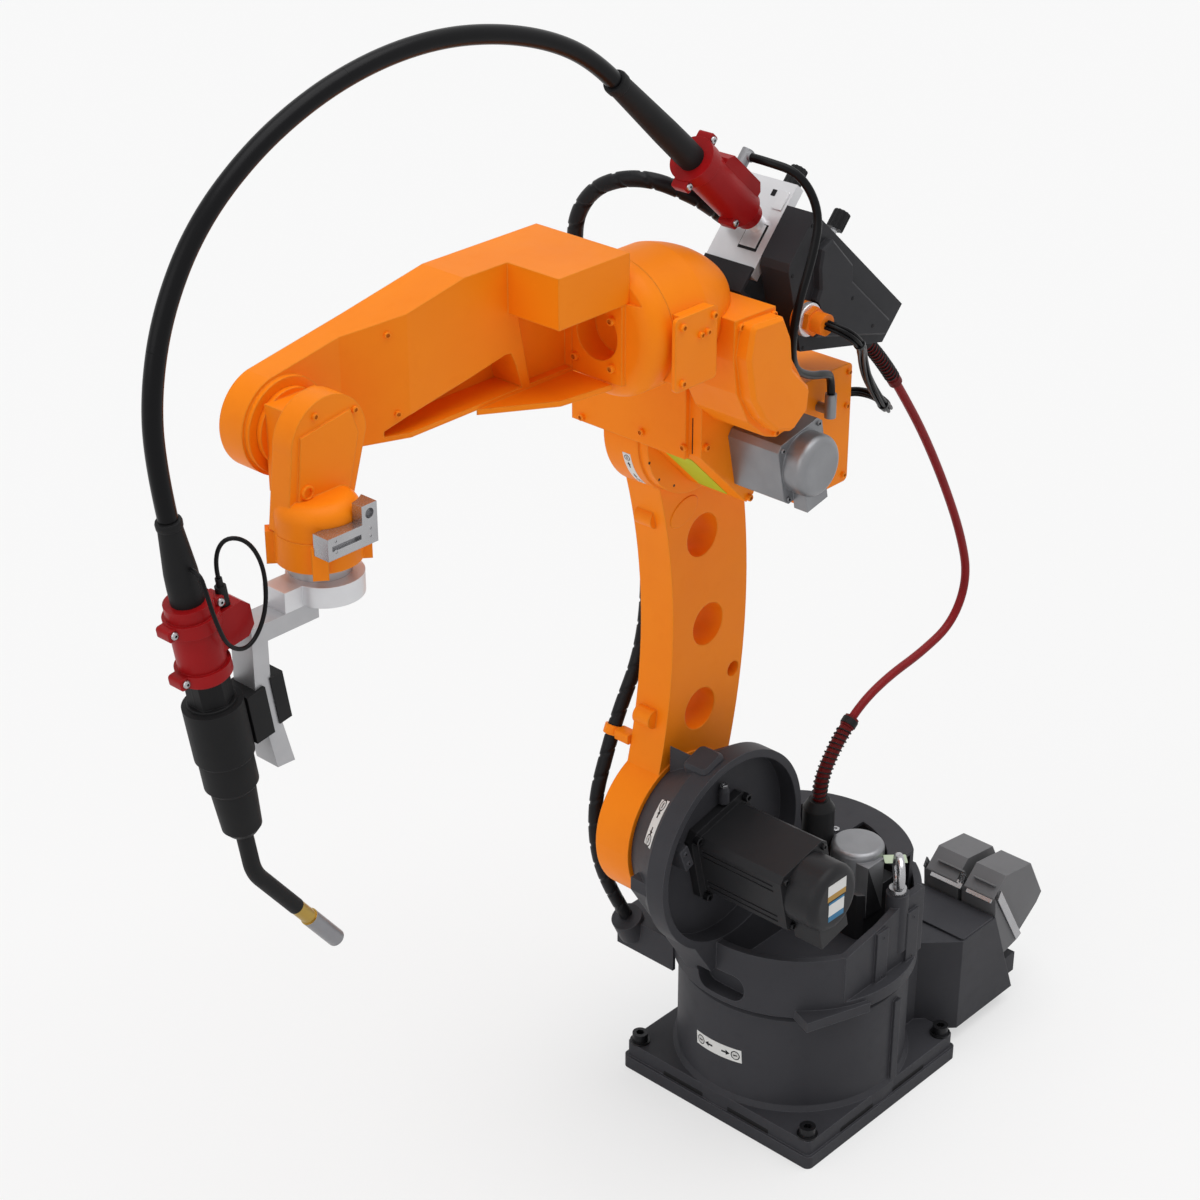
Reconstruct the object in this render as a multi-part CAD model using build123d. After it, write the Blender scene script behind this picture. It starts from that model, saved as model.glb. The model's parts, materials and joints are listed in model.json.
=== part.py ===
from build123d import *
import math
import os

# Arc-welding robot arm with six axes, in millimetres.
# X points forward, Y to the robot's left and Z up. The origin is the centre of the foot plate, on the floor.

# Foot and fixed column
plate_side = 365.0
plate_lower = 21.0
plate_top = 45.0
plate_inset = 4.5
foot_bolt_spacing = 327.0
foot_bolt_radius = 12.0
column_radius = 174.0
column_top = 212.0
wiring_box_side = 160.0
wiring_box_bottom = 25.0
wiring_box_top = 188.0
wiring_box_rear = 300.0
wiring_box_slope = 63.0
lid_thickness = 4.0
lid_front = 214.0
hood_width = 64.0
hood_pitch = 72.0
hood_first = 127.0

# Turret, which turns about Z
turret_radius = 184.0
turret_gap = 4.0
tray_floor = 262.0
tray_wall = 12.0
tray_rim = 318.0
tray_back_rim = 340.0
spigot_radius = 120.0
cover_top = 385.0
side_wall = 163.0
waist_motor_x = -(turret_radius - 122.0)
waist_motor_y = turret_radius - 122.0
waist_motor_top = 400.0
motor_side = 104.0

# Shoulder, which turns about Y
shoulder_x = 151.0
shoulder_z = 460.0
drum_face = -98.0
drum_face_radius = 109.0
drum_radius = 153.0
drum_edge = 0.0
drum_recess = 30.0
motor_turn = 13.0
motor_rear = 133.0
motor_cap_end = 185.0

# Upper arm
seat_gap = 0.3
arm_face = -98.3
arm_side_face = -100.0
arm_far_face = -160.0
arm_lower_radius = 116.0
arm_upper_radius = 101.0
arm_head_face = -85.0
arm_hole_radius = 32.0
elbow_x = 150.0
elbow_z = 1097.0

# Elbow casing
casing_far = -98.0
casing_near = 12.0
casing_front = 255.0
casing_front_bottom = 1110.0
casing_gap = 4.0
guard_far = -206.0

# Roll axis of the forearm, along X
roll_z = 1330.0
roll_radius = 86.0
drum_front = 395.0
flange_plate_rear = 425.0
flange_plate_front = 437.0
flange_plate_far = -41.0
window_radius = 32.6

# Forearm shell
shell_far = -110.0
shell_near = -41.0
shell_top = 1439.0
raised_near = 41.0
raised_front = 545.0
raised_bottom = 1376.0
nose_radius = 60.0

# Wrist, which bends about Y
wrist_x = 865.0
wrist_z = 1331.0
disc_radius = 53.0
disc_face = -65.0
nose_face = -72.0
neck_near = -29.0
wrist_near = 2.0
flange_x = 886.0
skirt_bottom = 1202.0
skirt_radius = 49.0

# Torch, in the plane of the roll axis
torch_lean = 9.15
torch_x = 1049.0
torch_z = 1087.0
torch_reach = 245.0
body_length = 182.0
neck_length = 95.0
tip_x = 895.0
tip_z = 696.0

# Wire feeder, leaning along the feed axis
feed_angle = 42.0
feed_x = 150.0
feed_z = 1320.0
feed_line = 59.0
feed_slope = -57.0

# Cables
torch_cable = 22.0
hose = 13.0
spiral_cable = 20.0
air_hose = 11.0
bundle = 14.0
signal_lead = 5.0
fitting_radius = 8.0


def box(x0, x1, y0, y1, z0, z1):
    """A block between two corners."""
    return Pos((x0 + x1) / 2, (y0 + y1) / 2, (z0 + z1) / 2) * Box(x1 - x0, y1 - y0, z1 - z0)


def rod_x(y, z, radius, x0, x1):
    return extrude(Plane(origin=(x0, y, z), x_dir=(0, 1, 0), z_dir=(1, 0, 0)) * Circle(radius), x1 - x0)


def rod_y(x, z, radius, y0, y1):
    return extrude(Plane(origin=(x, y0, z), x_dir=(1, 0, 0), z_dir=(0, 1, 0)) * Circle(radius), y1 - y0)


def rod_z(x, y, radius, z0, z1):
    return extrude(Plane(origin=(x, y, z0)) * Circle(radius), z1 - z0)


def slab_xz(outline, y0, y1):
    """An outline drawn in X and Z, from y0 to y1."""
    face = Plane(origin=(0, y0, 0), x_dir=(1, 0, 0), z_dir=(0, -1, 0)) * outline
    return extrude(face, y1 - y0, dir=(0, 1, 0))


def slab_xy(outline, z0, z1):
    return extrude(Pos(0, 0, z0) * outline, z1 - z0, dir=(0, 0, 1))


def shape(*points):
    return Polygon(*points, align=None)


def cone_y(x, z, y0, radius0, y1, radius1):
    """A cone along Y, by its two radii."""
    profile = shape((0, y0), (radius0, y0), (radius1, y1), (0, y1))
    return Pos(x, 0, z) * revolve(Plane.XY * profile, Axis.Y)


def turned_z(x, y, *profile):
    """A body turned about a vertical axis, from radius and height pairs."""
    return Pos(x, y, 0) * revolve(Plane.XZ * shape(*profile), Axis.Z)


def ring_of(count, radius, x, y, start=0.0):
    for index in range(count):
        turn = math.radians(start + 360.0 * index / count)
        yield x + radius * math.cos(turn), y + radius * math.sin(turn)


def feed_point(along, across):
    """X and Z of a point given along and across the leaning feed axis."""
    turn = math.radians(feed_angle)
    return (feed_x + along * math.cos(turn) - across * math.sin(turn),
            feed_z + along * math.sin(turn) + across * math.cos(turn))


def pipe(points, diameter):
    """A round tube along straight runs that are joined by the largest arcs."""
    route = [Vector(*point) for point in points]
    radii = []
    for before, corner, after in zip(route, route[1:], route[2:]):
        turn = (corner - before).get_angle(after - corner)
        shorter = min((corner - before).length, (after - corner).length)
        radii.append(0.45 * shorter / math.tan(math.radians(turn) / 2))
    line = FilletPolyline(*[tuple(point) for point in route], radius=radii)
    section = Plane(origin=line @ 0, z_dir=line % 0) * Circle(diameter / 2)
    tube = sweep(section, path=line)
    expected = math.pi * diameter ** 2 / 4 * line.length
    print("tube of", round(line.length), "mm, radii", [round(value) for value in radii],
          "volume share", round(tube.volume / expected, 4))
    return tube

def bolt_z(x, y, radius, base, height):
    """A socket head screw on its washer, upright."""
    washer = rod_z(x, y, radius * 1.3, base, base + radius * 0.25)
    head = rod_z(x, y, radius, base + radius * 0.25, base + height)
    socket = slab_xy(Pos(x, y) * RegularPolygon(radius * 0.55, 6), base + height * 0.5, base + height)
    return washer + head - socket


# Fixed base

def base_casting():
    """Foot plate, round column and the wiring box behind it, one casting."""
    half = plate_side / 2
    inner = half - plate_inset
    foot = box(-half, half, -half, half, 0, plate_lower)
    foot = fillet(foot.edges().filter_by(Axis.Z), 10)
    upper = box(-inner, inner, -inner, inner, plate_lower, plate_top)
    upper = fillet(upper.edges().filter_by(Axis.Z), 8)
    column = turned_z(0, 0, (0, plate_lower), (column_radius + 6, plate_lower), (column_radius + 6, plate_top),
                      (column_radius, plate_top + 7), (column_radius, column_top - 8),
                      (column_radius - 6, column_top - 3), (0, column_top - 3))
    rear_bottom = -wiring_box_rear - wiring_box_slope
    outline = shape((-60, wiring_box_bottom), (rear_bottom, wiring_box_bottom),
                    (-wiring_box_rear, wiring_box_top), (-60, wiring_box_top))
    plan = shape((-50, -112), (-165, -112), (-lid_front, -wiring_box_side), (-400, -wiring_box_side),
                 (-400, wiring_box_side), (-lid_front, wiring_box_side), (-165, 112), (-50, 112))
    wiring = slab_xz(outline, -wiring_box_side, wiring_box_side) & slab_xy(plan, 0, 200)
    rib = box(-32, -18, column_radius - 24, column_radius + 4, plate_top, 190)
    casting = foot + upper + column + wiring + rib
    for side in (-1, 1):
        y = side * (wiring_box_side - 30)
        casting += box(rear_bottom - 14, rear_bottom + 40, y - 22, y + 22, 45, 80)
        for end in (-1, 1):
            casting -= rod_z(end * foot_bolt_spacing / 2, side * foot_bolt_spacing / 2, 9, 0, plate_top)
    return casting


def foot_bolts():
    half = foot_bolt_spacing / 2
    return [bolt_z(x, y, foot_bolt_radius, plate_top, 16) for x in (-half, half) for y in (-half, half)]


def base_lid():
    """Flat plate screwed on the wiring box."""
    plate = box(-wiring_box_rear + 4, -lid_front, -wiring_box_side + 1, wiring_box_side - 1,
                wiring_box_top, wiring_box_top + lid_thickness)
    return fillet(plate.edges().filter_by(Axis.Z), 5)


def plug_housing(y):
    """Flange housing on the slope of the wiring box, where a plug hood clips on."""
    rear = -wiring_box_rear
    outline = shape((rear - 0.3, 188), (rear + 3, 222), (rear - 66, 112), (rear - 33, 105))
    return slab_xz(outline, y - hood_width / 2, y + hood_width / 2)


def plug_hood(y):
    rear = -wiring_box_rear
    outline = shape((rear + 3, 222), (rear - 28, 250), (rear - 96, 240), (rear - 135, 168), (rear - 123, 153),
                    (rear - 66, 112))
    hood = slab_xz(outline, y - hood_width / 2 + 4, y + hood_width / 2 - 4)
    return hood + rod_z(rear - 106, y, 12, 120, 160)


def hood_levers():
    """Spring levers that lock both hoods."""
    levers = []
    outline = shape((-306, 236), (-299, 222), (-362, 116), (-374, 122))
    for y in (hood_first - hood_pitch, hood_first):
        for side in (-1, 1):
            face = y + side * (hood_width / 2 + seat_gap)
            levers.append(slab_xz(outline, min(face, face + side * 3), max(face, face + side * 3)))
    return levers


# Turret

def turret_casting():
    """Open tray on the column with the shoulder drum at its side, one casting."""
    low = column_top + turret_gap
    inner = turret_radius - tray_wall
    skirt = turned_z(0, 0, (0, low), (turret_radius - 4, low), (turret_radius, low + 4), (turret_radius, tray_rim),
                     (inner, tray_rim), (inner, tray_floor), (0, tray_floor))
    skirt -= box(-120, 100, side_wall, turret_radius + 10, 240, 400)
    spigot = rod_z(0, 0, spigot_radius, column_top - 3 + seat_gap, low + 1)
    front = shoulder_x + drum_radius - 3
    web = shape((-40, tray_floor - 20), (turret_radius - 8, tray_floor - 20), (front, shoulder_z - 20),
                (front, shoulder_z), (shoulder_x - drum_radius + 3, shoulder_z))
    drum = cone_y(shoulder_x, shoulder_z, drum_face, drum_face_radius, -30, drum_radius)
    rim = rod_y(shoulder_x, shoulder_z, drum_radius, -30, drum_edge)
    casting = skirt + spigot + slab_xz(web, -62, drum_edge) + drum + rim
    casting -= rod_y(shoulder_x, shoulder_z, drum_radius - 12, -drum_recess, drum_edge + 1)
    casting += slab_xz(shape((107, 555), (107, 563), (125, 562), (160, 590), (186, 611), (186, 560)), -92, -42)
    wall = turned_z(0, 0, (inner, tray_floor), (turret_radius, tray_floor), (turret_radius, tray_back_rim),
                    (inner, tray_back_rim))
    casting += wall & box(-150, -70, 60, side_wall, 200, 400)
    flat = shape((-95, 240), (90, 240), (90, tray_rim), (10, 330), (-60, 350), (-95, 350))
    casting += slab_xz(flat, side_wall - tray_wall, side_wall)
    for x in (-64, 9):
        casting += box(x - 13, x + 13, side_wall - tray_wall, side_wall + 5, 234, 326)
    pocket = slab_xy(Pos(turret_radius, 6) * Rectangle(50, 84), 228, 272)
    pocket = fillet(pocket.edges().filter_by(Axis.X), 20)
    casting -= pocket
    casting += rod_z(-45, 150, 17, tray_floor, 360)
    casting += turned_z(149, -22.5, (0, 530), (8, 530), (8, 550), (5, 556), (0, 556))
    casting += slab_xy(shape((54, 150), (54, 184), (155, 148), (130, 80), (100, 60)), low, 232) \
        - rod_z(0, 0, turret_radius - 10, 150, 300)
    duct = box(84, 152, -222, -110, 196, 250) - rod_z(0, 0, turret_radius - 1, 150, 330)
    mouth = Pos(150, 0, 240) * Rot(0, 27, 0) * rod_z(0, -198, 24, -20, 18)
    return casting + duct + mouth


def lifting_eye():
    """Forged eye bolt on its boss."""
    collar = rod_z(-45, 150, 13, 360, 368)
    shank = rod_z(-45, 150, 7, 367, 376)
    ring = rod_y(0, 0, 28, -6, 6) - rod_y(0, 0, 16, -7, 7)
    ring = fillet(ring.edges().filter_by(GeomType.CIRCLE), 5)
    return collar + shank + Pos(-45, 150, 395) * Rot(0, 0, 45) * ring


def shoulder_motor():
    """Square servo motor that drives the shoulder, turned a little about its axis."""
    half = motor_side / 2
    body = box(-half, half, -drum_recess, motor_rear, -half, half)
    body = chamfer(body.edges().filter_by(Axis.Y), 9)
    flange = box(-64, 64, -drum_recess, -drum_recess + 14, -64, 64)
    flange = chamfer(flange.edges().filter_by(Axis.Y), 14)
    motor = body + flange
    for z in (-34, -24, 24, 34):
        motor -= box(half - 2, half + 1, -10, 118, z - 2, z + 2)
    return Pos(shoulder_x, 0, shoulder_z) * Rot(0, motor_turn, 0) * motor


def shoulder_motor_cap():
    """Encoder cap of the shoulder motor, with its plug box below."""
    cap = rod_y(0, 0, 51, motor_rear, motor_cap_end)
    cap = fillet(cap.edges().filter_by(GeomType.CIRCLE).sort_by(Axis.Y)[-1], 14)
    plug = box(-20, 38, motor_rear, motor_cap_end - 4, -66, -20)
    return Pos(shoulder_x, 0, shoulder_z) * Rot(0, motor_turn, 0) * (cap + plug)


def waist_motor():
    """Upright servo motor that turns the waist."""
    x, y = waist_motor_x, waist_motor_y
    body = box(x - 42, x + 42, y - 42, y + 42, tray_floor, 340)
    body = chamfer(body.edges().filter_by(Axis.Z), 8)
    cap = rod_z(x, y, 40, 338, waist_motor_top)
    cap = fillet(cap.edges().filter_by(GeomType.CIRCLE).sort_by(Axis.Z)[-1], 8)
    plug = box(x - 5, x + 33, y + 20, y + 45, 300, waist_motor_top - 12)
    return body + cap + plug


def rear_cover():
    """Curved sheet cover behind the waist motor."""
    outer = turret_radius - tray_wall - 1
    shell = turned_z(0, 0, (outer - 6, tray_floor), (outer, tray_floor), (outer, cover_top), (131, cover_top),
                     (131, cover_top - 6), (outer - 6, cover_top - 6))
    keep = box(-200, -70, -200, 122, tray_floor, cover_top + 10)
    shelf = box(-140, -20, -30, 20, cover_top - 6, cover_top)
    return (shell & keep) + shelf


def hose_gland():
    """Cable gland on the rear cover, where the red hose goes in."""
    return turned_z(-45, 0, (0, cover_top), (24, cover_top), (24, 442), (16, 455), (0, 455))


# Upper arm

def upper_arm_casting():
    """Bowed cast arm with three holes, a round foot and a round head."""
    outline = make_face([
        ThreePointArc((207, 540), (174, 773), (211, 1030)),
        Line((211, 1030), (elbow_x, elbow_z)),
        Line((elbow_x, elbow_z), (47, 1040)),
        ThreePointArc((47, 1040), (17, 800), (48, 540)),
        Line((48, 540), (shoulder_x, shoulder_z)),
        Line((shoulder_x, shoulder_z), (207, 540)),
    ])
    arm = slab_xz(outline, arm_far_face, arm_side_face)
    arm += rod_y(shoulder_x, shoulder_z, arm_lower_radius, arm_far_face, arm_face)
    arm += rod_y(elbow_x, elbow_z, arm_upper_radius, arm_far_face, arm_side_face)
    arm += rod_y(elbow_x, elbow_z, arm_upper_radius - 3, arm_far_face, arm_head_face - seat_gap)
    for x, z in ((116, 914), (100, 769), (114, 638)):
        arm -= rod_y(x, z, arm_hole_radius, arm_far_face - 1, arm_face + 1)
    arm -= rod_y(42, 673, 12, arm_far_face - 1, arm_face + 1)
    for x, z in ((188, 957), (188, 643)):
        arm += rod_y(x, z, 14, -150, -120)
    return arm


def shoulder_cap():
    """Bearing cap on the far side of the shoulder."""
    cap = rod_y(shoulder_x, shoulder_z, 62, -172, arm_far_face)
    return chamfer(cap.edges().filter_by(GeomType.CIRCLE).sort_by(Axis.Y)[0], 4)


def cable_clip():
    """Clip that holds the spiral cable to the arm."""
    cable = pipe(stretch(spiral_route, None, None), spiral_cable + 1.0)
    return box(168, 212, -214, arm_far_face, 588, 606) - cable


# Elbow

def elbow_casing():
    """Cast housing that holds the elbow gear, with a guard in front of the arm's head."""
    side = shape((casing_front, roll_z), (casing_front, casing_front_bottom), (161, 1016), (147, 1023),
                 (112, 1090), feed_point(-172, feed_slope), feed_point(78, feed_slope))
    casing = slab_xz(side, arm_head_face, casing_near) - roll_drum()
    rim = slab_xz(shape((casing_front, 1262), (casing_front, casing_front_bottom), (elbow_x + 103, 1108),
                        (240, 1165), (200, 1215), (200, 1262)), casing_far, arm_head_face)
    guard = box(casing_front, casing_front + 8, guard_far, casing_near - 20, 1105, 1225)
    rib = box(215, casing_front + 1, guard_far, guard_far + 3, 1150, 1225)
    neck = box(58, 116, -66, 4, 1098, 1146)
    return casing + rim + guard + rib + neck


def roll_drum():
    """Round housing of the roll gear above the elbow."""
    profile = make_face([
        Line((212, 0), (212, 12)),
        ThreePointArc((212, 12), (262, 58), (330, roll_radius)),
        Line((330, roll_radius), (drum_front, roll_radius)),
        Line((drum_front, roll_radius), (drum_front, 0)),
        Line((drum_front, 0), (212, 0)),
    ])
    return Pos(0, 0, roll_z) * revolve(Plane.XZ * profile, Axis.X)


def belt_case():
    """Belt case at the near side of the elbow, with its half oval cover."""
    block = slab_xz(shape((299, 1332), (221, 1330), (219, 1300), (160, 1210), (165, 1160), (212, 1152),
                          (234, 1160), (268, 1190), (292, 1235), (299, 1280)), casing_near, 98)
    outline = shape((228, 1324), (287, 1327), (295, 1285), (283, 1228), (262, 1196), (236, 1172), (202, 1162),
                    (174, 1182), (170, 1212), (206, 1248), (211, 1290))
    cover = slab_xz(outline, 97, 119)
    cover = fillet(cover.edges().filter_by(Axis.Y), 9)
    cover = chamfer(cover.faces().sort_by(Axis.Y)[-1].edges(), 5)
    return block + cover - roll_drum()


def junction_box():
    """Flat junction plate and its box at the near side of the drum."""
    body = box(336, 392, 20, 94, 1274, 1363) - rod_x(0, roll_z, roll_radius + seat_gap, 300, 420)
    plate = box(334, 409, 94, 100, 1272, 1365)
    plate = fillet(plate.edges().filter_by(Axis.Y), 6)
    return body + plate


def rear_box():
    """Wiring box behind the elbow."""
    case = box(-57, 58, -76, casing_near, 974, 1149)
    return fillet(case.edges().filter_by(Axis.Y), 8)


def elbow_motor():
    """Servo motor of the elbow, on its axis."""
    body = box(-45, 45, casing_near, 95, -45, 45)
    body = chamfer(body.edges().filter_by(Axis.Y), 8)
    cap = rod_y(0, 0, 42, 94, 126)
    cap = fillet(cap.edges().filter_by(GeomType.CIRCLE).sort_by(Axis.Y)[-1], 12)
    plug = box(-16, 26, 94, 116, -58, -20)
    motor = body + cap + plug
    return Pos(elbow_x, 0, elbow_z) * Rot(0, 12, 0) * motor


# Wire feeder, drawn level and then leaned: X runs along the feed axis, Z across it

def leaned(part):
    return Pos(feed_x, 0, feed_z) * Rot(0, -feed_angle, 0) * part


def feeder_housing():
    """Black case over the feed motor."""
    outline = shape((45, 92), (-214, 92), (-213, 34), (-58, -54), (39, 10), (45, 20))
    case = slab_xz(outline, 32, 78)
    outline = shape((2, 80), (-60, 76), (-75, 60), (-110, 60), (-190, 60), (-196, 40), (-60, -30), (-30, -10),
                    (-22, 20), (0, 40), (12, 60))
    cover = slab_xz(outline, 77, 90)
    cover = chamfer(cover.faces().sort_by(Axis.Y)[-1].edges(), 3)
    return leaned(case + (cover - rod_y(-25, -20, 26, 78, 95)))


def feeder_unit():
    """Aluminium feed unit with its face plate and outlet tube."""
    body = box(-205, 27, -52, 32 - seat_gap, 24, 84)
    inlet = rod_x(0, feed_line, 10, -240, -204)
    plate = box(26, 42, -50, 30, -8, 122)
    tube = rod_x(0, feed_line, 12, 42, 66)
    return leaned(body + inlet + plate + tube)


def feeder_knobs():
    """Pressure knobs on their stems."""
    knobs = []
    for along_axis, y in ((8, -5), (-110, 0)):
        stem = rod_z(along_axis, y, 5, 84, 132)
        knob = rod_z(along_axis, y, 12, 131, 156)
        knobs.append(leaned(stem + knob))
    return knobs


def feeder_bracket():
    """Folded bracket and post that carry the feeder on the slope of the elbow casing."""
    plate = box(42, 47, -48, 30, -34, 2)
    foot = box(-70, 47, -48, 30, -34, -29)
    post = box(-110, -20, -44, casing_near, feed_slope, -33)
    web = box(-110, -20, -44, 28, -34, 24)
    return leaned(plate + foot + post + web)


def cable_gland():
    """Round flange and hexagonal gland on the case."""
    flange = rod_y(-25, -20, 22, 78, 86)
    nut = extrude(Plane(origin=(-25, 86, -20), x_dir=(1, 0, 0), z_dir=(0, 1, 0)) * RegularPolygon(19, 6), 16)
    cap = rod_y(-25, -20, 14, 102, 120)
    return leaned(flange + nut + cap)


def feeder_connector():
    """Clamped plastic shell of the torch cable at the feeder."""
    barrel = rod_x(0, feed_line, 26, 84, 214)
    end = rod_x(0, feed_line, 18, 62, 84)
    clamp_ring = rod_x(0, feed_line, 30, 196, 214)
    block = box(90, 176, -20, 20, feed_line, feed_line + 34)
    block = chamfer(block.edges().filter_by(Axis.Y), 9)
    return leaned(barrel + end + clamp_ring + block - rod_x(0, feed_line, 12.2, 60, 66.3))


def hose_fittings():
    """Plated elbows of the air hose: one on the connector's block, one on the rear box."""
    upper = leaned(rod_z(129, 4, fitting_radius, feed_line + 34, 118)) + rod_y(172, 1488, 6.5, 2, 14)
    lower = rod_z(14, 32, fitting_radius, 1096, 1130) + rod_y(14, 1106, 7, casing_near, 32)
    return [upper, lower]


def feeder_boot():
    """Rubber boot of the torch cable at the feeder."""
    boot = rod_x(0, feed_line, 17, 214, 335) + rod_x(0, feed_line, 14, 335, 400)
    return leaned(boot)


# Forearm

def roll_flange():
    """Domed flange that the roll gear turns, with the round window of the hollow shaft."""
    disc = rod_x(0, roll_z, roll_radius, drum_front + 0.5, flange_plate_rear + 6)
    disc = fillet(disc.edges().filter_by(GeomType.CIRCLE).sort_by(Axis.X)[-1], 26)
    plate = box(405, flange_plate_front, flange_plate_far, 40, 1273, 1376)
    ring = disc + plate
    front = flange_plate_front + 20
    low, high = roll_z - 2 * roll_radius, roll_z + 2 * roll_radius
    ring -= box(flange_plate_rear, front, -2 * roll_radius, flange_plate_far, low, high)
    ring -= box(flange_plate_rear, front, -2 * roll_radius, 2 * roll_radius, raised_bottom, high)
    return ring - rod_x(0, roll_z, window_radius, 404, 440)


def forearm_shell():
    """Cast offset forearm: hollow-looking wall with an arch, raised box and nose."""
    side = make_face([
        Line((flange_plate_rear, 1271), (wrist_x, 1271)),
        ThreePointArc((wrist_x, 1271), (wrist_x + nose_radius, wrist_z), (wrist_x + 16, wrist_z + 57.8)),
        Line((wrist_x + 16, wrist_z + 57.8), (742, 1414)),
        Line((742, 1414), (614, shell_top)),
        Line((614, shell_top), (flange_plate_rear, shell_top)),
        Line((flange_plate_rear, shell_top), (flange_plate_rear, 1271)),
    ])
    shell = slab_xz(side, shell_far, shell_near)
    plan = shape((400, shell_far), (960, shell_far), (960, nose_face), (780, nose_face), (705, shell_near),
                 (400, shell_near))
    shell = shell & slab_xy(plan, 1200, 1500)
    shell += rod_y(wrist_x, wrist_z, disc_radius + 3, nose_face - 1, disc_face - seat_gap)
    arch = shape((524, 1277), (533, 1308), (541, 1325), (551, 1326), (609, 1315), (706, 1299), (735, 1284),
                 (735, 1277))
    shell -= slab_xz(arch, -88, shell_near + 1)
    under = shape((flange_plate_front, 1277), (510, 1277), (526, raised_bottom - 20), (530, raised_bottom),
                  (flange_plate_front, raised_bottom))
    shell -= slab_xz(under, shell_near - 12, shell_near + 1)
    raised = box(flange_plate_front, raised_front, shell_near, raised_near, raised_bottom, shell_top)
    raised = raised + box(flange_plate_rear, flange_plate_front + 1, shell_near, raised_near, raised_bottom,
                          shell_top)
    fin = slab_xy(shape((flange_plate_front, shell_near - 1), (flange_plate_front, 25), (515, 14), (600, shell_near)),
                  1265, 1272)
    shell = shell + raised + fin
    return shell - rod_x(0, roll_z, roll_radius + 2, 380, flange_plate_rear)


def wrist_housing():
    """Wrist yoke: disc in the forearm's nose, neck and rounded housing."""
    disc = rod_y(wrist_x, wrist_z, disc_radius - 8, disc_face, -58)
    neck = box(wrist_x - 36, wrist_x + 36, -60, neck_near, 1266, 1369)
    outline = make_face([
        Line((wrist_x - 54, wrist_z), (wrist_x - 26, 1240)),
        Line((wrist_x - 26, 1240), (wrist_x + 66, 1240)),
        Line((wrist_x + 66, 1240), (wrist_x + 54, wrist_z)),
        ThreePointArc((wrist_x + 54, wrist_z), (wrist_x, wrist_z + 54), (wrist_x - 54, wrist_z)),
    ])
    near = slab_xz(outline, neck_near, wrist_near)
    base = rod_z(flange_x, 0, skirt_radius - 0.5, 1238, 1277)
    base = fillet(base.edges().filter_by(GeomType.CIRCLE).sort_by(Axis.Z)[-1], 20)
    outline = make_face([
        Line((wrist_x - 40, wrist_z), (wrist_x - 22, 1262)),
        Line((wrist_x - 22, 1262), (wrist_x + 52, 1262)),
        Line((wrist_x + 52, 1262), (wrist_x + 42, wrist_z + 18)),
        Line((wrist_x + 42, wrist_z + 18), (wrist_x - 30, wrist_z + 30)),
        Line((wrist_x - 30, wrist_z + 30), (wrist_x - 40, wrist_z)),
    ])
    cover = slab_xz(outline, wrist_near - 1, wrist_near + 3)
    return disc + neck + near + base + cover


def wrist_skirt():
    """Round skirt of the wrist with four lugs."""
    skirt = rod_z(flange_x, 0, skirt_radius, skirt_bottom, 1238)
    for turn in (-40, 50, 140, 230):
        skirt += Pos(flange_x, 0, 0) * Rot(0, 0, turn) * box(skirt_radius - 12, skirt_radius + 9, -9, 9,
                                                             skirt_bottom - 3, 1238)
    return skirt


def stop_bracket():
    """Slotted stop bracket on the wrist skirt."""
    bar = box(856, 928, 40, 64, 1230, 1256) + box(856, 878, 40, 64, 1230, 1278)
    bar -= rod_y(867, 1267, 6, 56, 70) + box(880, 922, 58, 70, 1240, 1246)
    return bar - wrist_skirt() - rod_z(flange_x, 0, skirt_radius + 0.2, 1190, 1300)


def tool_flange():
    return rod_z(flange_x, 0, 36, 1186, skirt_bottom - seat_gap - 4)


def mounting_block():
    """Aluminium block with a round end, screwed under the tool flange."""
    block = box(flange_x, 954, -18, 18, 1161, 1186)
    return block + rod_z(flange_x, 8, 44, 1161, 1186)


def torch_bracket():
    """Bent aluminium bracket between the block and the torch clamp."""
    outline = shape((907, 1161), (1003, 1161), (1003, 1085), (979, 978), (954, 977), (981, 1080), (981, 1139),
                    (907, 1139))
    return slab_xz(outline, -18, 18)


def on_torch(part):
    """Put a part drawn about the Z axis on the torch's own axis, its zero at the top of the clamp body."""
    return Pos(torch_x, 0, torch_z) * Rot(0, torch_lean, 0) * part


def on_torch_point(x, y, z):
    turn = math.radians(torch_lean)
    return (torch_x + x * math.cos(turn) + z * math.sin(turn), y,
            torch_z - x * math.sin(turn) + z * math.cos(turn))


def torch_clamp():
    """Clamp jaws that hold the torch on the bracket."""
    jaw = on_torch(box(-56, -30, -22, 22, -70, -8)) - torch_body() - torch_bracket()
    back = on_torch(box(-84, -66, -20, 20, -66, -4)) - torch_bracket()
    return [jaw.solids().sort_by(SortBy.VOLUME)[-1], back.solids().sort_by(SortBy.VOLUME)[-1]]


def torch_body():
    """Insulated torch body, stepped towards the neck."""
    body = turned_z(0, 0, (0, 34), (22, 34), (22, 0), (34, -2), (34, -72), (31, -76), (31, -112), (26, -118),
                    (23, 8 - body_length), (17, -body_length), (0, -body_length))
    return on_torch(body)


def torch_connector():
    """Clamped plastic shell of the torch cable at the torch."""
    barrel = rod_z(0, 0, 27, 34, 131)
    clamp_low = rod_z(0, 0, 31, 38, 52)
    clamp_high = rod_z(0, 0, 31, 100, 116)
    block = box(-62, 0, -20, 20, 62, 108)
    block = chamfer(block.edges().filter_by(Axis.Y), 10)
    return on_torch(barrel + clamp_low + clamp_high + block)


def signal_plug():
    """Small plug of the signal lead on the torch's connector."""
    return on_torch(rod_z(-37, 10, 6.5, 108, 132) + rod_z(-37, 10, 4, 132, 142))


def torch_boot():
    """Rubber boot of the torch cable at the torch."""
    return on_torch(rod_z(0, 0, 19, 131, 190) + rod_z(0, 0, 15, 190, 232))


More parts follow.
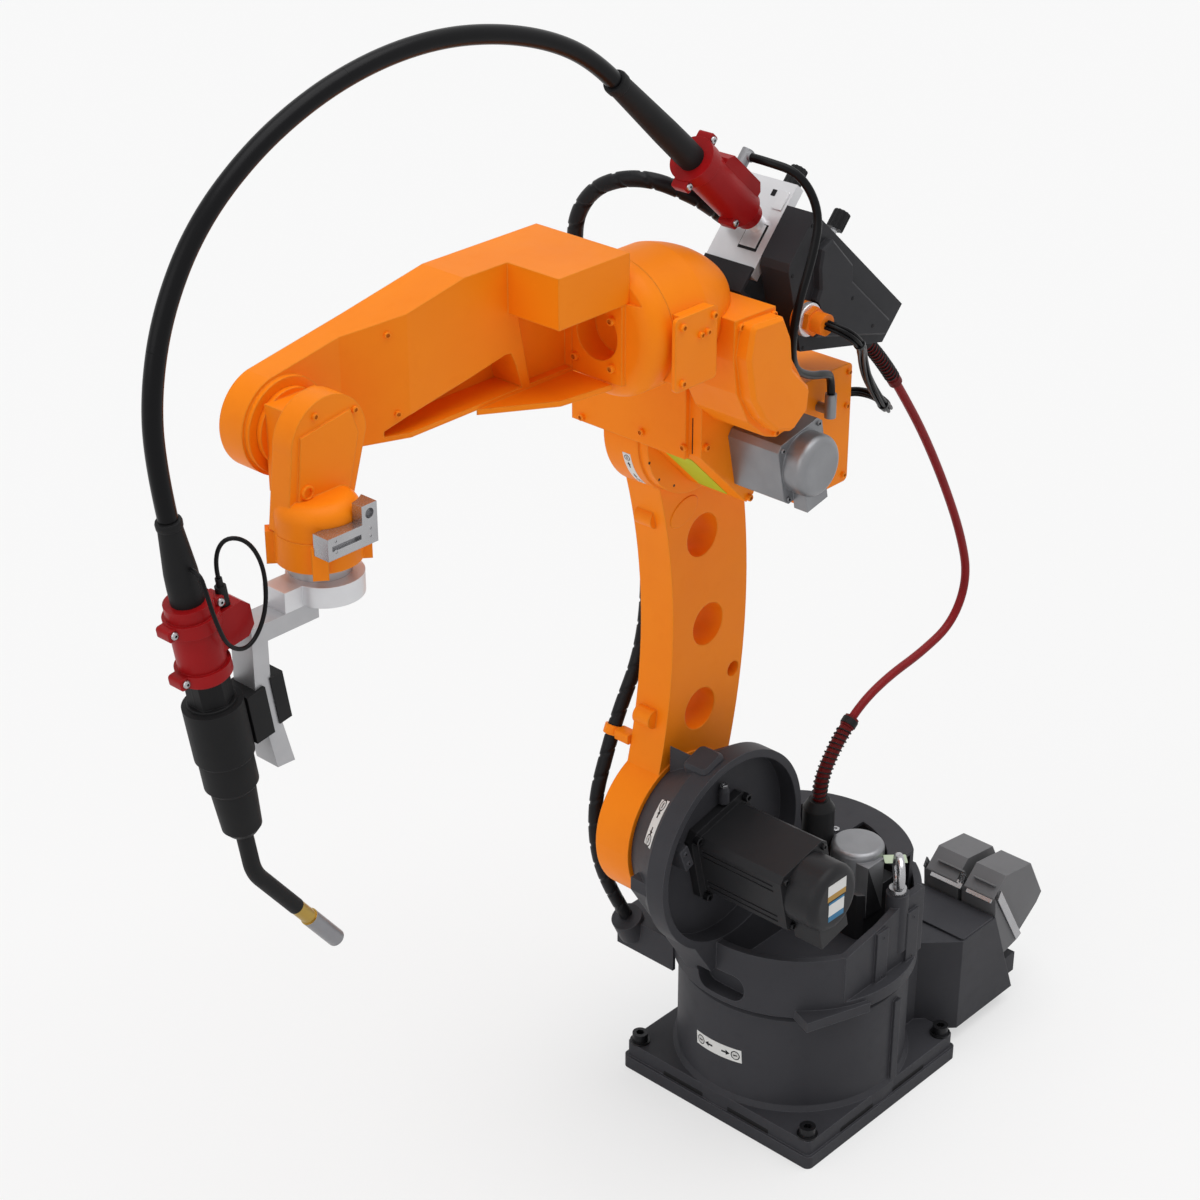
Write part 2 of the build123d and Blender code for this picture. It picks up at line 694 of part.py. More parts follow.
def torch_axis(down):
    """A point on the torch's axis, below the top of its body."""
    turn = math.radians(torch_lean)
    return Vector(torch_x - down * math.sin(turn), 0, torch_z - down * math.cos(turn))


def torch_neck():
    """Bent neck from the torch body to the nozzle."""
    corner = torch_axis(torch_reach)
    way = (Vector(tip_x, 0, tip_z) - corner).normalized()
    line = FilletPolyline(tuple(torch_axis(body_length)), tuple(corner), tuple(corner + way * neck_length), radius=60)
    section = Plane(origin=line @ 0, z_dir=line % 0) * Circle(10)
    return sweep(section, path=line)


def nozzle(start, end, radius):
    """A round length of the nozzle, by its distances from the neck's corner."""
    corner = torch_axis(torch_reach)
    way = (Vector(tip_x, 0, tip_z) - corner).normalized()
    return extrude(Plane(origin=corner + way * start, z_dir=way) * Circle(radius), end - start)


def gas_nozzle():
    """Brass ring and steel gas nozzle."""
    tip = (Vector(tip_x, 0, tip_z) - torch_axis(torch_reach)).length
    return nozzle(neck_length, neck_length + 30, 9.5) + nozzle(neck_length + 30, tip, 11)


# Cables

def flat(x, z):
    return (x, 0, z)


torch_route = [flat(*feed_point(400, feed_line)), flat(*feed_point(445, feed_line)), (506, 0, 1697),
               (590, 0, 1723), (680, 0, 1736), (772, 0, 1732), (862, 0, 1711), (948, 0, 1672), (1022, 0, 1614),
               (1070, 0, 1539), (1093, 0, 1460), (1096, 0, 1385), (1086, 0, 1317)]
red_route = [flat(*feed_point(-272, 50)), flat(*feed_point(-312, 50)), (-156, 0, 1104), (-195, 0, 1054),
             (-250, 0, 978), (-310, 0, 880), (-365, 0, 775), (-393, 0, 690), (-360, 0, 625), (-280, 0, 605),
             (-205, 0, 598), (-140, 0, 580), (-92, 0, 546), (-58, 0, 508), (-45, 0, 478), (-45, 0, 455)]
spiral_route = [(160, -198, 262), (198, -198, 330), (226, -198, 410), (228, -198, 495), (204, -198, 560),
                (178, -198, 620), (160, -198, 700), (152, -198, 800), (162, -198, 900), (186, -196, 985),
                (204, -192, 1065), (212, -190, 1150), (234, -190, 1240), (270, -188, 1325), (290, -176, 1392),
                (290, -145, 1440), (286, -100, 1464), (268, -62, 1466), (232, -44, 1446), (196, -40, 1424),
                (160, -40, 1397)]
air_route = [(172, 14, 1488), (172, 34, 1488), (150, 74, 1476), (134, 94, 1426), (154, 100, 1375),
             (177, 98, 1320), (174, 88, 1262), (140, 66, 1214), (90, 50, 1190), (40, 40, 1182),
             (14, 32, 1166), (14, 32, 1130)]
bundle_route = [(144.8, 120, 1288.4), (144.8, 146, 1288.4), (112, 150, 1262), (72, 122, 1226), (28, 100, 1176),
                (-20, 86, 1126), (-62, 72, 1094), (-98, 44, 1082), (-112, 6, 1084), (-96, -24, 1085),
                (-57, -24, 1085)]
loop_route = [on_torch_point(-37, 10, 142), on_torch_point(-37, 10, 166), (1030, 18, 1282), (1004, 26, 1272),
              (986, 28, 1232), (990, 30, 1180), (1018, 34, 1150), (1050, 38, 1164), (1068, 42, 1206),
              (1076, 40, 1244), (1077, 34, 1262), (1077, 19.3, 1262)]

torch_split = 5
torch_split_front = 9
red_split_upper = 2
red_split = 5
red_split_lower = 11
spiral_split = 4
spiral_split_top = 9
spiral_split_elbow = 13


def middle(route, index):
    """The point half way along one run of a route."""
    before, after = route[index], route[index + 1]
    return tuple((a + b) / 2 for a, b in zip(before, after))


def stretch(route, first, last):
    """Part of a route, from the middle of one run to the middle of another."""
    points = route[0 if first is None else first + 1:len(route) if last is None else last + 1]
    if first is not None:
        points = [middle(route, first)] + points
    if last is not None:
        points = points + [middle(route, last)]
    return points


def red_sleeve_upper():
    """Ribbed sleeve and brass fitting where the red hose leaves the feeder."""
    fitting = leaned(rod_x(0, 50, 12, -272, -240))
    return [pipe(stretch(red_route, None, red_split_upper), 22), fitting]


def red_sleeve_lower():
    """Ribbed sleeve over the gland on the rear cover."""
    return pipe(stretch(red_route, red_split_lower, None), 24)


solids = {
    "base_casting": base_casting(),
    "base_lid": base_lid(),
    "foot_bolts": foot_bolts(),
    "plug_housings": [plug_housing(hood_first), plug_housing(hood_first - hood_pitch)],
    "plug_hoods": [plug_hood(hood_first), plug_hood(hood_first - hood_pitch)],
    "hood_levers": hood_levers(),
    "turret_casting": turret_casting(),
    "lifting_eye": lifting_eye(),
    "shoulder_motor": shoulder_motor(),
    "shoulder_motor_cap": shoulder_motor_cap(),
    "waist_motor": waist_motor(),
    "rear_cover": rear_cover(),
    "hose_gland": hose_gland(),
    "upper_arm_casting": upper_arm_casting(),
    "shoulder_cap": shoulder_cap(),
    "cable_clip": cable_clip(),
    "elbow_casing": elbow_casing(),
    "roll_drum": roll_drum(),
    "belt_case": belt_case(),
    "junction_box": junction_box(),
    "rear_box": rear_box(),
    "elbow_motor": elbow_motor(),
    "feeder_housing": feeder_housing(),
    "feeder_unit": feeder_unit(),
    "feeder_knobs": feeder_knobs(),
    "feeder_bracket": feeder_bracket(),
    "cable_gland": cable_gland(),
    "feeder_connector": feeder_connector(),
    "feeder_boot": feeder_boot(),
    "roll_flange": roll_flange(),
    "forearm_shell": forearm_shell(),
    "wrist_housing": wrist_housing(),
    "wrist_skirt": wrist_skirt(),
    "stop_bracket": stop_bracket(),
    "tool_flange": tool_flange(),
    "mounting_block": mounting_block(),
    "torch_bracket": torch_bracket(),
    "torch_clamp": torch_clamp(),
    "torch_body": torch_body(),
    "torch_connector": torch_connector(),
    "torch_boot": torch_boot(),
    "torch_neck": torch_neck(),
    "gas_nozzle": gas_nozzle(),
    "torch_cable_rear": pipe(stretch(torch_route, None, torch_split), torch_cable),
    "torch_cable_middle": pipe(stretch(torch_route, torch_split, torch_split_front), torch_cable),
    "torch_cable_front": pipe(stretch(torch_route, torch_split_front, None), torch_cable),
    "red_hose_upper": pipe(stretch(red_route, red_split_upper, red_split), hose),
    "red_hose_lower": pipe(stretch(red_route, red_split, red_split_lower), hose),
    "red_sleeve_upper": red_sleeve_upper(),
    "red_sleeve_lower": red_sleeve_lower(),
    "spiral_cable_lower": pipe(stretch(spiral_route, None, spiral_split), spiral_cable),
    "spiral_cable_arm": pipe(stretch(spiral_route, spiral_split, spiral_split_top), spiral_cable),
    "spiral_cable_upper": pipe(stretch(spiral_route, spiral_split_top, None), spiral_cable),
    "air_hose": pipe(air_route, air_hose),
    "hose_fittings": hose_fittings(),
    "cable_bundle": pipe(bundle_route, bundle),
    "signal_plug": signal_plug(),
    "signal_loop": pipe(loop_route, signal_lead),
}

os.makedirs("parts", exist_ok=True)
for name, part in solids.items():
    piece = Compound(part) if isinstance(part, list) else part
    export_step(piece, os.path.join("parts", name + ".step"))
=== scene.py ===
# %% [markdown]
# # An arc-welding robot arm, dressed over its CAD frame
# The robot's castings, motors and housings come from the imported CAD model, so every dimension is already
# right. What is left for Blender is what the eye reads as real: paint on castings, rubber, hoses that bend,
# screws, labels and seams. The frame's objects stay where they are, and each new piece that doesn't cross a
# joint rides on one of its bodies.

# %% Start from the frame
import json
import math

import bmesh
import bpy
from mathutils import Matrix, Vector

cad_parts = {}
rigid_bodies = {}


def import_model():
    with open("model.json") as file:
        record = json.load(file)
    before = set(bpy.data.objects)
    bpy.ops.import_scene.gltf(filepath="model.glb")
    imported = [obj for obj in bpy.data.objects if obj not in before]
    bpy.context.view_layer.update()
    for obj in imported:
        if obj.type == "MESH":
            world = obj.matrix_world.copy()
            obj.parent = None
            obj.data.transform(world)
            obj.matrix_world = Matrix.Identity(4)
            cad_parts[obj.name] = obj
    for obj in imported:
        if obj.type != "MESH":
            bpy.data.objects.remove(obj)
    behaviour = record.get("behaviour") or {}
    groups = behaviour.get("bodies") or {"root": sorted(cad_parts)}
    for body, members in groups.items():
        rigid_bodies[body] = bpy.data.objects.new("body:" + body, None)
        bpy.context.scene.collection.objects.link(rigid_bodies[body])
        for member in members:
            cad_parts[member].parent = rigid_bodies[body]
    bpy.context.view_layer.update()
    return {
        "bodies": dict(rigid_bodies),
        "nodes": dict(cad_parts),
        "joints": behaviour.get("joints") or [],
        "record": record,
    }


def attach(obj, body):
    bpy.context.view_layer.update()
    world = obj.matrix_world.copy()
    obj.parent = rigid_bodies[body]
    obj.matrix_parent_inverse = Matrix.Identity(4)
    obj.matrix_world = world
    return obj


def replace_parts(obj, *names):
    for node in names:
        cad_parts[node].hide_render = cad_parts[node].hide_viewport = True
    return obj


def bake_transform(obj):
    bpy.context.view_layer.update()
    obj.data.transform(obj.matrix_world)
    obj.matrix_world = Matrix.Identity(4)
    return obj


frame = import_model()
nodes = frame["nodes"]


def mm(x, y, z):
    """A point given in millimetres, in the scene's metres."""
    return Vector((x, y, z)) / 1000


# %% [markdown]
# ## The camera
# The photograph was taken from the robot's front left, from higher than its tallest arc of cable. The angle
# was worked out from the square foot plate and the upright column, which is surer than trying views by eye.

# %% Camera
LENS = 76.17
SENSOR = 36
HEADING = 222.692
PITCH = 27.7164
TRIPOD = (2.50935, 1.91672, 2.45547)

camera_data = bpy.data.cameras.new("camera")
camera_data.lens = LENS
camera_data.sensor_width = SENSOR
camera_data.clip_end = 200
camera = bpy.data.objects.new("camera", camera_data)
camera.location = TRIPOD
camera.rotation_euler = (math.radians(90 - PITCH), 0, math.radians(HEADING - 90))
bpy.context.scene.collection.objects.link(camera)
bpy.context.scene.camera = camera
print("camera lens", LENS, "mm")

# %% [markdown]
# ## Nodes without noise
# A material is a small graph. One function adds any node with its settings and links, so that each finish
# below reads like a recipe. Colours are written as sRGB hex, as a paint chart gives them, and turned to
# linear light.

# %% Helpers for colour and nodes


def shade(code):
    """An sRGB hex colour as the linear colour that a shader reads."""
    parts = [int(code[i:i + 2], 16) / 255 for i in (1, 3, 5)]
    return [c / 12.92 if c <= 0.04045 else ((c + 0.055) / 1.055) ** 2.4 for c in parts] + [1.0]


def add(tree, kind, inputs=None, **settings):
    """One node with its settings. Inputs take a value, or another node's output to link."""
    node = tree.nodes.new(kind)
    for key, value in settings.items():
        setattr(node, key, value)
    for key, value in (inputs or {}).items():
        if isinstance(value, bpy.types.NodeSocket):
            tree.links.new(value, node.inputs[key])
        else:
            node.inputs[key].default_value = value
    return node


def start_finish(name):
    """A new material's tree, its output node and the object's own coordinates in metres."""
    material = bpy.data.materials.new(name)
    material.use_nodes = True
    tree = material.node_tree
    tree.nodes.clear()
    output = add(tree, "ShaderNodeOutputMaterial")
    place = add(tree, "ShaderNodeTexCoord").outputs["Object"]
    return material, tree, output, place

print("middle grey in linear light", round(shade("#808080")[0], 3))

# %% [markdown]
# ## Paint on castings
# The arm is sand-cast aluminium under a coat of satin two-part enamel, and the foot and turret are cast
# iron under a darker, coarser powder coat. Sand leaves a grain of about a millimetre. The edges are coloured
# lighter, partly as wear where paint is thin and partly as a painted highlight, and hands leave faint
# smudges on broad faces. The Bevel node rounds edges for light alone, as a casting's are. Both coats are
# matted: they mirror little of the white sky, so that dark paint stays dark.

# %% Edges lightened as wear and as painted highlight
MATTED = 0.13
EDGE_STARTS = 0.97
EDGE_FULL = 0.82


def edge_wear_and_highlight(tree, radius, samples, most):
    """The normal of an edge rounded by so many millimetres, and how far it is lightened there: wear and
    painted highlight.
    """
    edge = add(tree, "ShaderNodeBevel", {"Radius": radius / 1000}, samples=samples)
    flat = add(tree, "ShaderNodeNewGeometry")
    slant = add(tree, "ShaderNodeVectorMath", {0: edge.outputs["Normal"], 1: flat.outputs["Normal"]},
                operation="DOT_PRODUCT")
    wear_and_highlight = add(tree, "ShaderNodeMapRange", {"Value": slant.outputs["Value"], "From Min": EDGE_STARTS,
                                            "From Max": EDGE_FULL, "To Max": most})
    return edge.outputs["Normal"], wear_and_highlight.outputs["Result"]


print("specular level of a matted coat", MATTED)

# %% [markdown]
# Three noises make the paint. Clouds of tone are about 110 mm wide, so nine of them lie in a metre. Smudges
# are as wide as a thumb, 26 mm, which is 38 to a metre. Sand has the casting's own grain, in millimetres:
# it is drawn a few times as coarse as real moulding sand, because a finer one wouldn't show.

# %% Paints
CLOUDS = 9.0
SMUDGES = 38.0


def cast_paint(name, colour, cloud, rub_and_highlight, grain, relief, gloss, radius):
    """Enamel on a casting. Grain, relief and edge radius are in millimetres."""
    material, tree, output, place = start_finish(name)
    clouds = add(tree, "ShaderNodeTexNoise", {"Vector": place, "Scale": CLOUDS, "Detail": 4.0})
    smudge = add(tree, "ShaderNodeTexNoise", {"Vector": place, "Scale": SMUDGES, "Detail": 6.0,
                                              "Roughness": 0.65})
    sand = add(tree, "ShaderNodeTexNoise", {"Vector": place, "Scale": 1000 / grain, "Detail": 2.0})
    spread = add(tree, "ShaderNodeMapRange", {"Value": smudge.outputs["Fac"], "From Min": 0.56,
                                              "From Max": 0.74, "To Max": 0.35})
    blend = add(tree, "ShaderNodeMapRange", {"Value": clouds.outputs["Fac"], "From Min": 0.35,
                                             "From Max": 0.7, "To Max": 0.5})
    base = add(tree, "ShaderNodeMix", {"Factor": blend.outputs["Result"], "A": shade(colour),
                                       "B": shade(cloud)}, data_type="RGBA")
    soiled = add(tree, "ShaderNodeMix", {"Factor": spread.outputs["Result"], "A": base.outputs["Result"],
                                         "B": shade(cloud)}, data_type="RGBA")
    # Edges mix towards a lighter colour: partly worn paint, partly painted highlight.
    normal, wear_and_highlight = edge_wear_and_highlight(tree, radius, 6, 0.5)
    skin = add(tree, "ShaderNodeMix", {"Factor": wear_and_highlight, "A": soiled.outputs["Result"], "B": shade(rub_and_highlight)},
               data_type="RGBA")
    bump = add(tree, "ShaderNodeBump", {"Height": sand.outputs["Fac"], "Distance": relief / 1000,
                                        "Strength": 0.6, "Normal": normal})
    dull = add(tree, "ShaderNodeMapRange", {"Value": smudge.outputs["Fac"], "To Min": gloss - 0.06,
                                            "To Max": gloss + 0.1})
    shell = add(tree, "ShaderNodeBsdfPrincipled", {"Base Color": skin.outputs["Result"], "IOR": 1.5,
                                                   "Roughness": dull.outputs["Result"],
                                                   "Specular IOR Level": MATTED,
                                                   "Normal": bump.outputs["Normal"]})
    tree.links.new(shell.outputs["BSDF"], output.inputs["Surface"])
    return material


orange_enamel = cast_paint("orange_enamel_on_cast_aluminium", "#fd8b12", "#f6800e", "#ffab42",
                           1.3, 0.10, 0.42, 2.6)
iron_powder_coat = cast_paint("dark_powder_coat_on_cast_iron", "#3c3c40", "#333337", "#66666b",
                              1.7, 0.22, 0.47, 2.4)
motor_enamel = cast_paint("black_enamel_on_servo_motor", "#2a2a2c", "#222224", "#4c4c4e",
                          0.9, 0.06, 0.38, 1.4)
hood_enamel = cast_paint("grey_enamel_on_plug_hood", "#6e6e70", "#636365", "#9b9b9c", 1.2, 0.10, 0.45, 1.6)
feeder_enamel = cast_paint("charcoal_enamel_on_feeder_case", "#313134", "#2a2a2d", "#57575a",
                           0.8, 0.06, 0.45, 1.2)
print("paints", 5)

# %% [markdown]
# ## Bare metals
# Servo motors are die-cast aluminium left bare, which is grey and mottled in patches of about 40 mm, 26 to
# a metre. The torch bracket is sawn and brushed plate, with fine lines that run along it. They are drawn
# 0.8 mm apart, which is coarser than a belt leaves them, so that they show. Bails, screws and the nozzle
# are steel. A metal keeps the default IOR, and roughness does the work.

# %% Metals
MOTTLE = 26.0


def bare_metal(name, colour, cloud, rough, metallic, stretch, line, relief, radius=1.0):
    """Bare metal. Stretch draws the lines out along an axis, and line is their spacing in millimetres."""
    material, tree, output, place = start_finish(name)
    along = add(tree, "ShaderNodeMapping", {"Vector": place, "Scale": stretch})
    brush = add(tree, "ShaderNodeTexNoise", {"Vector": along.outputs["Vector"], "Scale": 1000 / line,
                                             "Detail": 3.0})
    clouds = add(tree, "ShaderNodeTexNoise", {"Vector": place, "Scale": MOTTLE, "Detail": 4.0})
    tone = add(tree, "ShaderNodeMix", {"Factor": clouds.outputs["Fac"], "A": shade(colour),
                                       "B": shade(cloud)}, data_type="RGBA")
    haze = add(tree, "ShaderNodeMapRange", {"Value": brush.outputs["Fac"], "To Min": rough - 0.08,
                                            "To Max": rough + 0.1})
    edge = add(tree, "ShaderNodeBevel", {"Radius": radius / 1000}, samples=4)
    bump = add(tree, "ShaderNodeBump", {"Height": brush.outputs["Fac"], "Distance": relief / 1000,
                                        "Strength": 0.5, "Normal": edge.outputs["Normal"]})
    shell = add(tree, "ShaderNodeBsdfPrincipled", {"Base Color": tone.outputs["Result"], "Metallic": metallic,
                                                   "Roughness": haze.outputs["Result"],
                                                   "Normal": bump.outputs["Normal"]})
    tree.links.new(shell.outputs["BSDF"], output.inputs["Surface"])
    return material


even = (1.0, 1.0, 1.0)
die_cast = bare_metal("bare_die_cast_aluminium", "#96979a", "#7b7c7f", 0.38, 0.7, even, 1.0, 0.05, 1.6)
brushed_plate = bare_metal("brushed_aluminium_plate", "#bdbdbf", "#a8a8ab", 0.38, 0.6, (1, 1, 0.06),
                           0.8, 0.03)
milled_plate = bare_metal("milled_aluminium", "#e2e2e4", "#cfcfd2", 0.33, 0.6, (0.08, 1, 1), 0.9, 0.03)
bail_steel = bare_metal("plated_steel", "#b9b9bb", "#9f9fa2", 0.24, 0.9, even, 1.5, 0.02, 0.6)
nozzle_steel = bare_metal("turned_steel_nozzle", "#97979a", "#838387", 0.33, 0.85, even, 1.2, 0.03, 0.6)
yellow_brass = bare_metal("yellow_brass", "#b89a52", "#a3863f", 0.3, 0.9, even, 1.0, 0.02, 0.5)
black_oxide = bare_metal("black_oxide_steel", "#27272a", "#1d1d1f", 0.36, 0.6, even, 1.0, 0.02, 0.5)
print("metals", 7)

# %% [markdown]
# ## Rubber and plastic
# Boots and cable jackets are rubber: a broad dull sheen, never a mirror. The cable clamps are moulded red
# nylon with a fine etched skin. Labels are printed film, with plain arrows or bands of colour. A real
# etched skin is about 0.1 mm fine. It is drawn at 0.7 to 1 mm, because nothing finer would show.

# %% Rubber, plastic and film
MOULD_EDGE = 0.8


def moulded(name, colour, cloud, gloss, grain, relief, rub_and_highlight=""):
    """Moulded rubber or plastic. Grain is the etched skin's spacing in millimetres."""
    material, tree, output, place = start_finish(name)
    clouds = add(tree, "ShaderNodeTexNoise", {"Vector": place, "Scale": MOTTLE, "Detail": 4.0})
    skin = add(tree, "ShaderNodeTexNoise", {"Vector": place, "Scale": 1000 / grain, "Detail": 2.0})
    tone = add(tree, "ShaderNodeMix", {"Factor": clouds.outputs["Fac"], "A": shade(colour),
                                       "B": shade(cloud)}, data_type="RGBA")
    # Edges mix towards a lighter colour: partly wear, partly painted highlight.
    normal, wear_and_highlight = edge_wear_and_highlight(tree, MOULD_EDGE, 4, 0.45)
    coat = add(tree, "ShaderNodeMix", {"Factor": wear_and_highlight, "A": tone.outputs["Result"],
                                       "B": shade(rub_and_highlight or colour)}, data_type="RGBA")
    bump = add(tree, "ShaderNodeBump", {"Height": skin.outputs["Fac"], "Distance": relief / 1000,
                                        "Strength": 0.6, "Normal": normal})
    haze = add(tree, "ShaderNodeMapRange", {"Value": clouds.outputs["Fac"], "To Min": gloss - 0.05,
                                            "To Max": gloss + 0.07})
    shell = add(tree, "ShaderNodeBsdfPrincipled", {"Base Color": coat.outputs["Result"], "IOR": 1.5,
                                                   "Roughness": haze.outputs["Result"],
                                                   "Specular IOR Level": MATTED,
                                                   "Normal": bump.outputs["Normal"]})
    tree.links.new(shell.outputs["BSDF"], output.inputs["Surface"])
    return material


red_nylon = moulded("red_glass_filled_nylon", "#a01518", "#8c1013", 0.36, 0.8, 0.03, "#c4474a")
boot_rubber = moulded("black_moulded_rubber", "#1f1f20", "#181819", 0.52, 0.7, 0.03, "#39393b")
jacket_rubber = moulded("black_cable_jacket", "#0f0f11", "#0c0c0e", 0.30, 0.9, 0.02)
spiral_plastic = moulded("black_spiral_wrap", "#1c1c1e", "#161618", 0.40, 0.9, 0.02, "#343436")
hose_rubber = moulded("red_hose_rubber", "#8c1d20", "#731619", 0.38, 0.9, 0.03)
sleeve_rubber = moulded("dark_red_ribbed_sleeve", "#6a1719", "#54100f", 0.45, 0.9, 0.03)
black_nylon = moulded("black_glass_filled_nylon", "#232324", "#1b1b1c", 0.45, 0.7, 0.03, "#3f3f40")
socket_shade = moulded("orange_paint_in_shade", "#d9741a", "#c66814", 0.5, 1.0, 0.01)
orange_nylon = moulded("orange_gland_nylon", "#f3811f", "#e67414", 0.30, 1.0, 0.02, "#ffab60")
white_film = moulded("white_printed_film", "#e4e4e2", "#d8d8d6", 0.40, 1.0, 0.01)
dark_colour_and_painted_shade = moulded("dark_finish_and_painted_shade", "#202022", "#19191b", 0.45, 1.0, 0.01)
lime_film = moulded("yellow_green_film", "#c3cf3a", "#b5c132", 0.40, 1.0, 0.01)
gold_film = moulded("gold_printed_band", "#b8924c", "#a8823e", 0.38, 1.0, 0.01)
blue_film = moulded("blue_printed_band", "#3d7fa8", "#356f95", 0.38, 1.0, 0.01)
pale_film = moulded("pale_green_film", "#c8d8bd", "#b9caae", 0.38, 1.0, 0.01)
print("mouldings", 15)

# %% [markdown]
# ## Finishes for the CAD nodes
# Most castings already have the right form, so they keep it and only get their finish.

# %% Give each carried-over node its finish
finishes = {
    orange_enamel: "upper_arm_casting elbow_casing roll_drum belt_case junction_box rear_box roll_flange "
                   "forearm_shell wrist_housing wrist_skirt",
    iron_powder_coat: "base_casting base_lid turret_casting rear_cover shoulder_cap",
    motor_enamel: "shoulder_motor shoulder_motor_cap",
    hood_enamel: "plug_housings plug_hoods",
    feeder_enamel: "feeder_housing feeder_bracket",
    die_cast: "waist_motor elbow_motor hose_fittings",
    milled_plate: "feeder_unit mounting_block",
    brushed_plate: "torch_bracket tool_flange",
    bail_steel: "hood_levers lifting_eye stop_bracket",
    black_oxide: "foot_bolts",
    black_nylon: "feeder_knobs torch_clamp cable_clip hose_gland signal_plug",
    boot_rubber: "torch_body torch_neck torch_boot feeder_boot",
    orange_nylon: "cable_gland",
    red_nylon: "feeder_connector torch_connector",
    nozzle_steel: "gas_nozzle",
}
for finish, names in finishes.items():
    for name in names.split():
        mesh = nodes[name].data
        mesh.materials.clear()
        mesh.materials.append(finish)
        for face in mesh.polygons:
            face.material_index = 0
print("finished nodes", sum(len(names.split()) for names in finishes.values()))

# %% [markdown]
# ## Hoses
# A hose is stiff enough to keep one smooth line, so each is a NURBS spline through the space of its route.
# The control points are those of the CAD tubes, apart from the spiral wrapped cable behind the arm and the
# last bend of the air hose, which were brought closer to the photograph. The tube is swept ring by ring,
# and the ring's radius may change along the way: that is how a spiral wrap or a ribbed sleeve is made
# without extra pieces.

# %% A swept tube that follows a spline
CURVE_STEPS = 16
CREASE = 35


def spline_line(points):
    """Points read from the NURBS spline whose control points are the route's."""
    curve = bpy.data.curves.new("route", "CURVE")
    curve.dimensions = "3D"
    curve.resolution_u = CURVE_STEPS
    spline = curve.splines.new("NURBS")
    spline.points.add(len(points) - 1)
    for control, point in zip(spline.points, points):
        control.co = (*point, 1)
    spline.order_u = 3
    spline.use_endpoint_u = True
    route = bpy.data.objects.new("route", curve)
    bpy.context.scene.collection.objects.link(route)
    bpy.context.view_layer.update()
    mesh = bpy.data.meshes.new_from_object(route)
    line = [vertex.co.copy() for vertex in mesh.vertices]
    bpy.data.objects.remove(route)
    bpy.data.meshes.remove(mesh)
    return line


def even_line(line, step):
    """The same line with points a step apart, for rings that have to be regular."""
    far = [0.0]
    for a, b in zip(line, line[1:]):
        far.append(far[-1] + (b - a).length)
    count = max(2, round(far[-1] / step))
    spaced = []
    run = 0
    for index in range(count + 1):
        distance = far[-1] * index / count
        while run < len(line) - 2 and far[run + 1] < distance:
            run += 1
        share = (distance - far[run]) / (far[run + 1] - far[run])
        spaced.append(line[run].lerp(line[run + 1], min(1.0, share)))
    return spaced


def sweep(bm, line, radius, sides, aside=0.0, phase=0.0, twist=0.0):
    """Adds a closed tube. Radius is a number, or a function of the distance and the angle. A strand of a
    bundle runs aside from the line, and twists around it by so many radians per metre."""
    along = [(b - a).normalized() for a, b in zip(line, line[1:])]
    way = [along[0]] + [(a + b).normalized() for a, b in zip(along, along[1:])] + [along[-1]]
    side = way[0].orthogonal().normalized()
    rings = []
    distance = 0.0
    for index, (centre, tangent) in enumerate(zip(line, way)):
        side = (side - tangent * side.dot(tangent)).normalized()
        other = tangent.cross(side)
        distance += (centre - line[index - 1]).length if index else 0.0
        lie = phase + twist * distance
        middle = centre + (side * math.cos(lie) + other * math.sin(lie)) * aside
        ring = []
        for corner in range(sides):
            turn = math.tau * corner / sides
            size = radius(distance, turn) if callable(radius) else radius
            ring.append(bm.verts.new(middle + (side * math.cos(turn) + other * math.sin(turn)) * size))
        rings.append(ring)
    for low, high in zip(rings, rings[1:]):
        for a in range(sides):
            b = (a + 1) % sides
            bm.faces.new((low[a], low[b], high[b], high[a]))
    bm.faces.new(rings[0][::-1])
    bm.faces.new(rings[-1])


def swept(name, line, radius, material, sides):
    """One tube as an object of its own."""
    bm = bmesh.new()
    sweep(bm, line, radius, sides)
    return to_object(name, bm, material)


def to_object(name, bm, material):
    """Turns a bmesh into an object with smooth faces and sharp edges."""
    bmesh.ops.recalc_face_normals(bm, faces=bm.faces)
    for edge in bm.edges:
        edge.smooth = len(edge.link_faces) != 2 or edge.calc_face_angle() < math.radians(CREASE)
    for face in bm.faces:
        face.smooth = True
    mesh = bpy.data.meshes.new(name)
    bm.to_mesh(mesh)
    bm.free()
    mesh.materials.append(material)
    piece = bpy.data.objects.new(name, mesh)
    bpy.context.scene.collection.objects.link(piece)
    return piece


def length_of(line):
    """Length of a line of points, in metres."""
    return sum((b - a).length for a, b in zip(line, line[1:]))


print("steps between two control points", CURVE_STEPS)

# %% [markdown]
# The routes are lists of control points. A route that crosses a joint is split in the middle of a straight
# run, where both lengths agree on where the hose is.

# %% Routes of the hoses, in metres
torch_route = [(0.40778, 0, 1.63150), (0.44122, 0, 1.66161), (0.506, 0, 1.697), (0.590, 0, 1.723),
               (0.680, 0, 1.736), (0.772, 0, 1.732), (0.862, 0, 1.711), (0.948, 0, 1.672),
               (1.022, 0, 1.614), (1.070, 0, 1.539), (1.093, 0, 1.460), (1.096, 0, 1.385),
               (1.086, 0, 1.317)]
red_route = [(-0.08559, 0, 1.17515), (-0.11532, 0, 1.14839), (-0.156, 0, 1.104), (-0.195, 0, 1.054),
             (-0.250, 0, 0.978), (-0.310, 0, 0.880), (-0.365, 0, 0.775), (-0.393, 0, 0.690),
             (-0.360, 0, 0.625), (-0.280, 0, 0.605), (-0.205, 0, 0.598), (-0.140, 0, 0.580),
             (-0.092, 0, 0.546), (-0.058, 0, 0.508), (-0.045, 0, 0.478), (-0.045, 0, 0.455)]
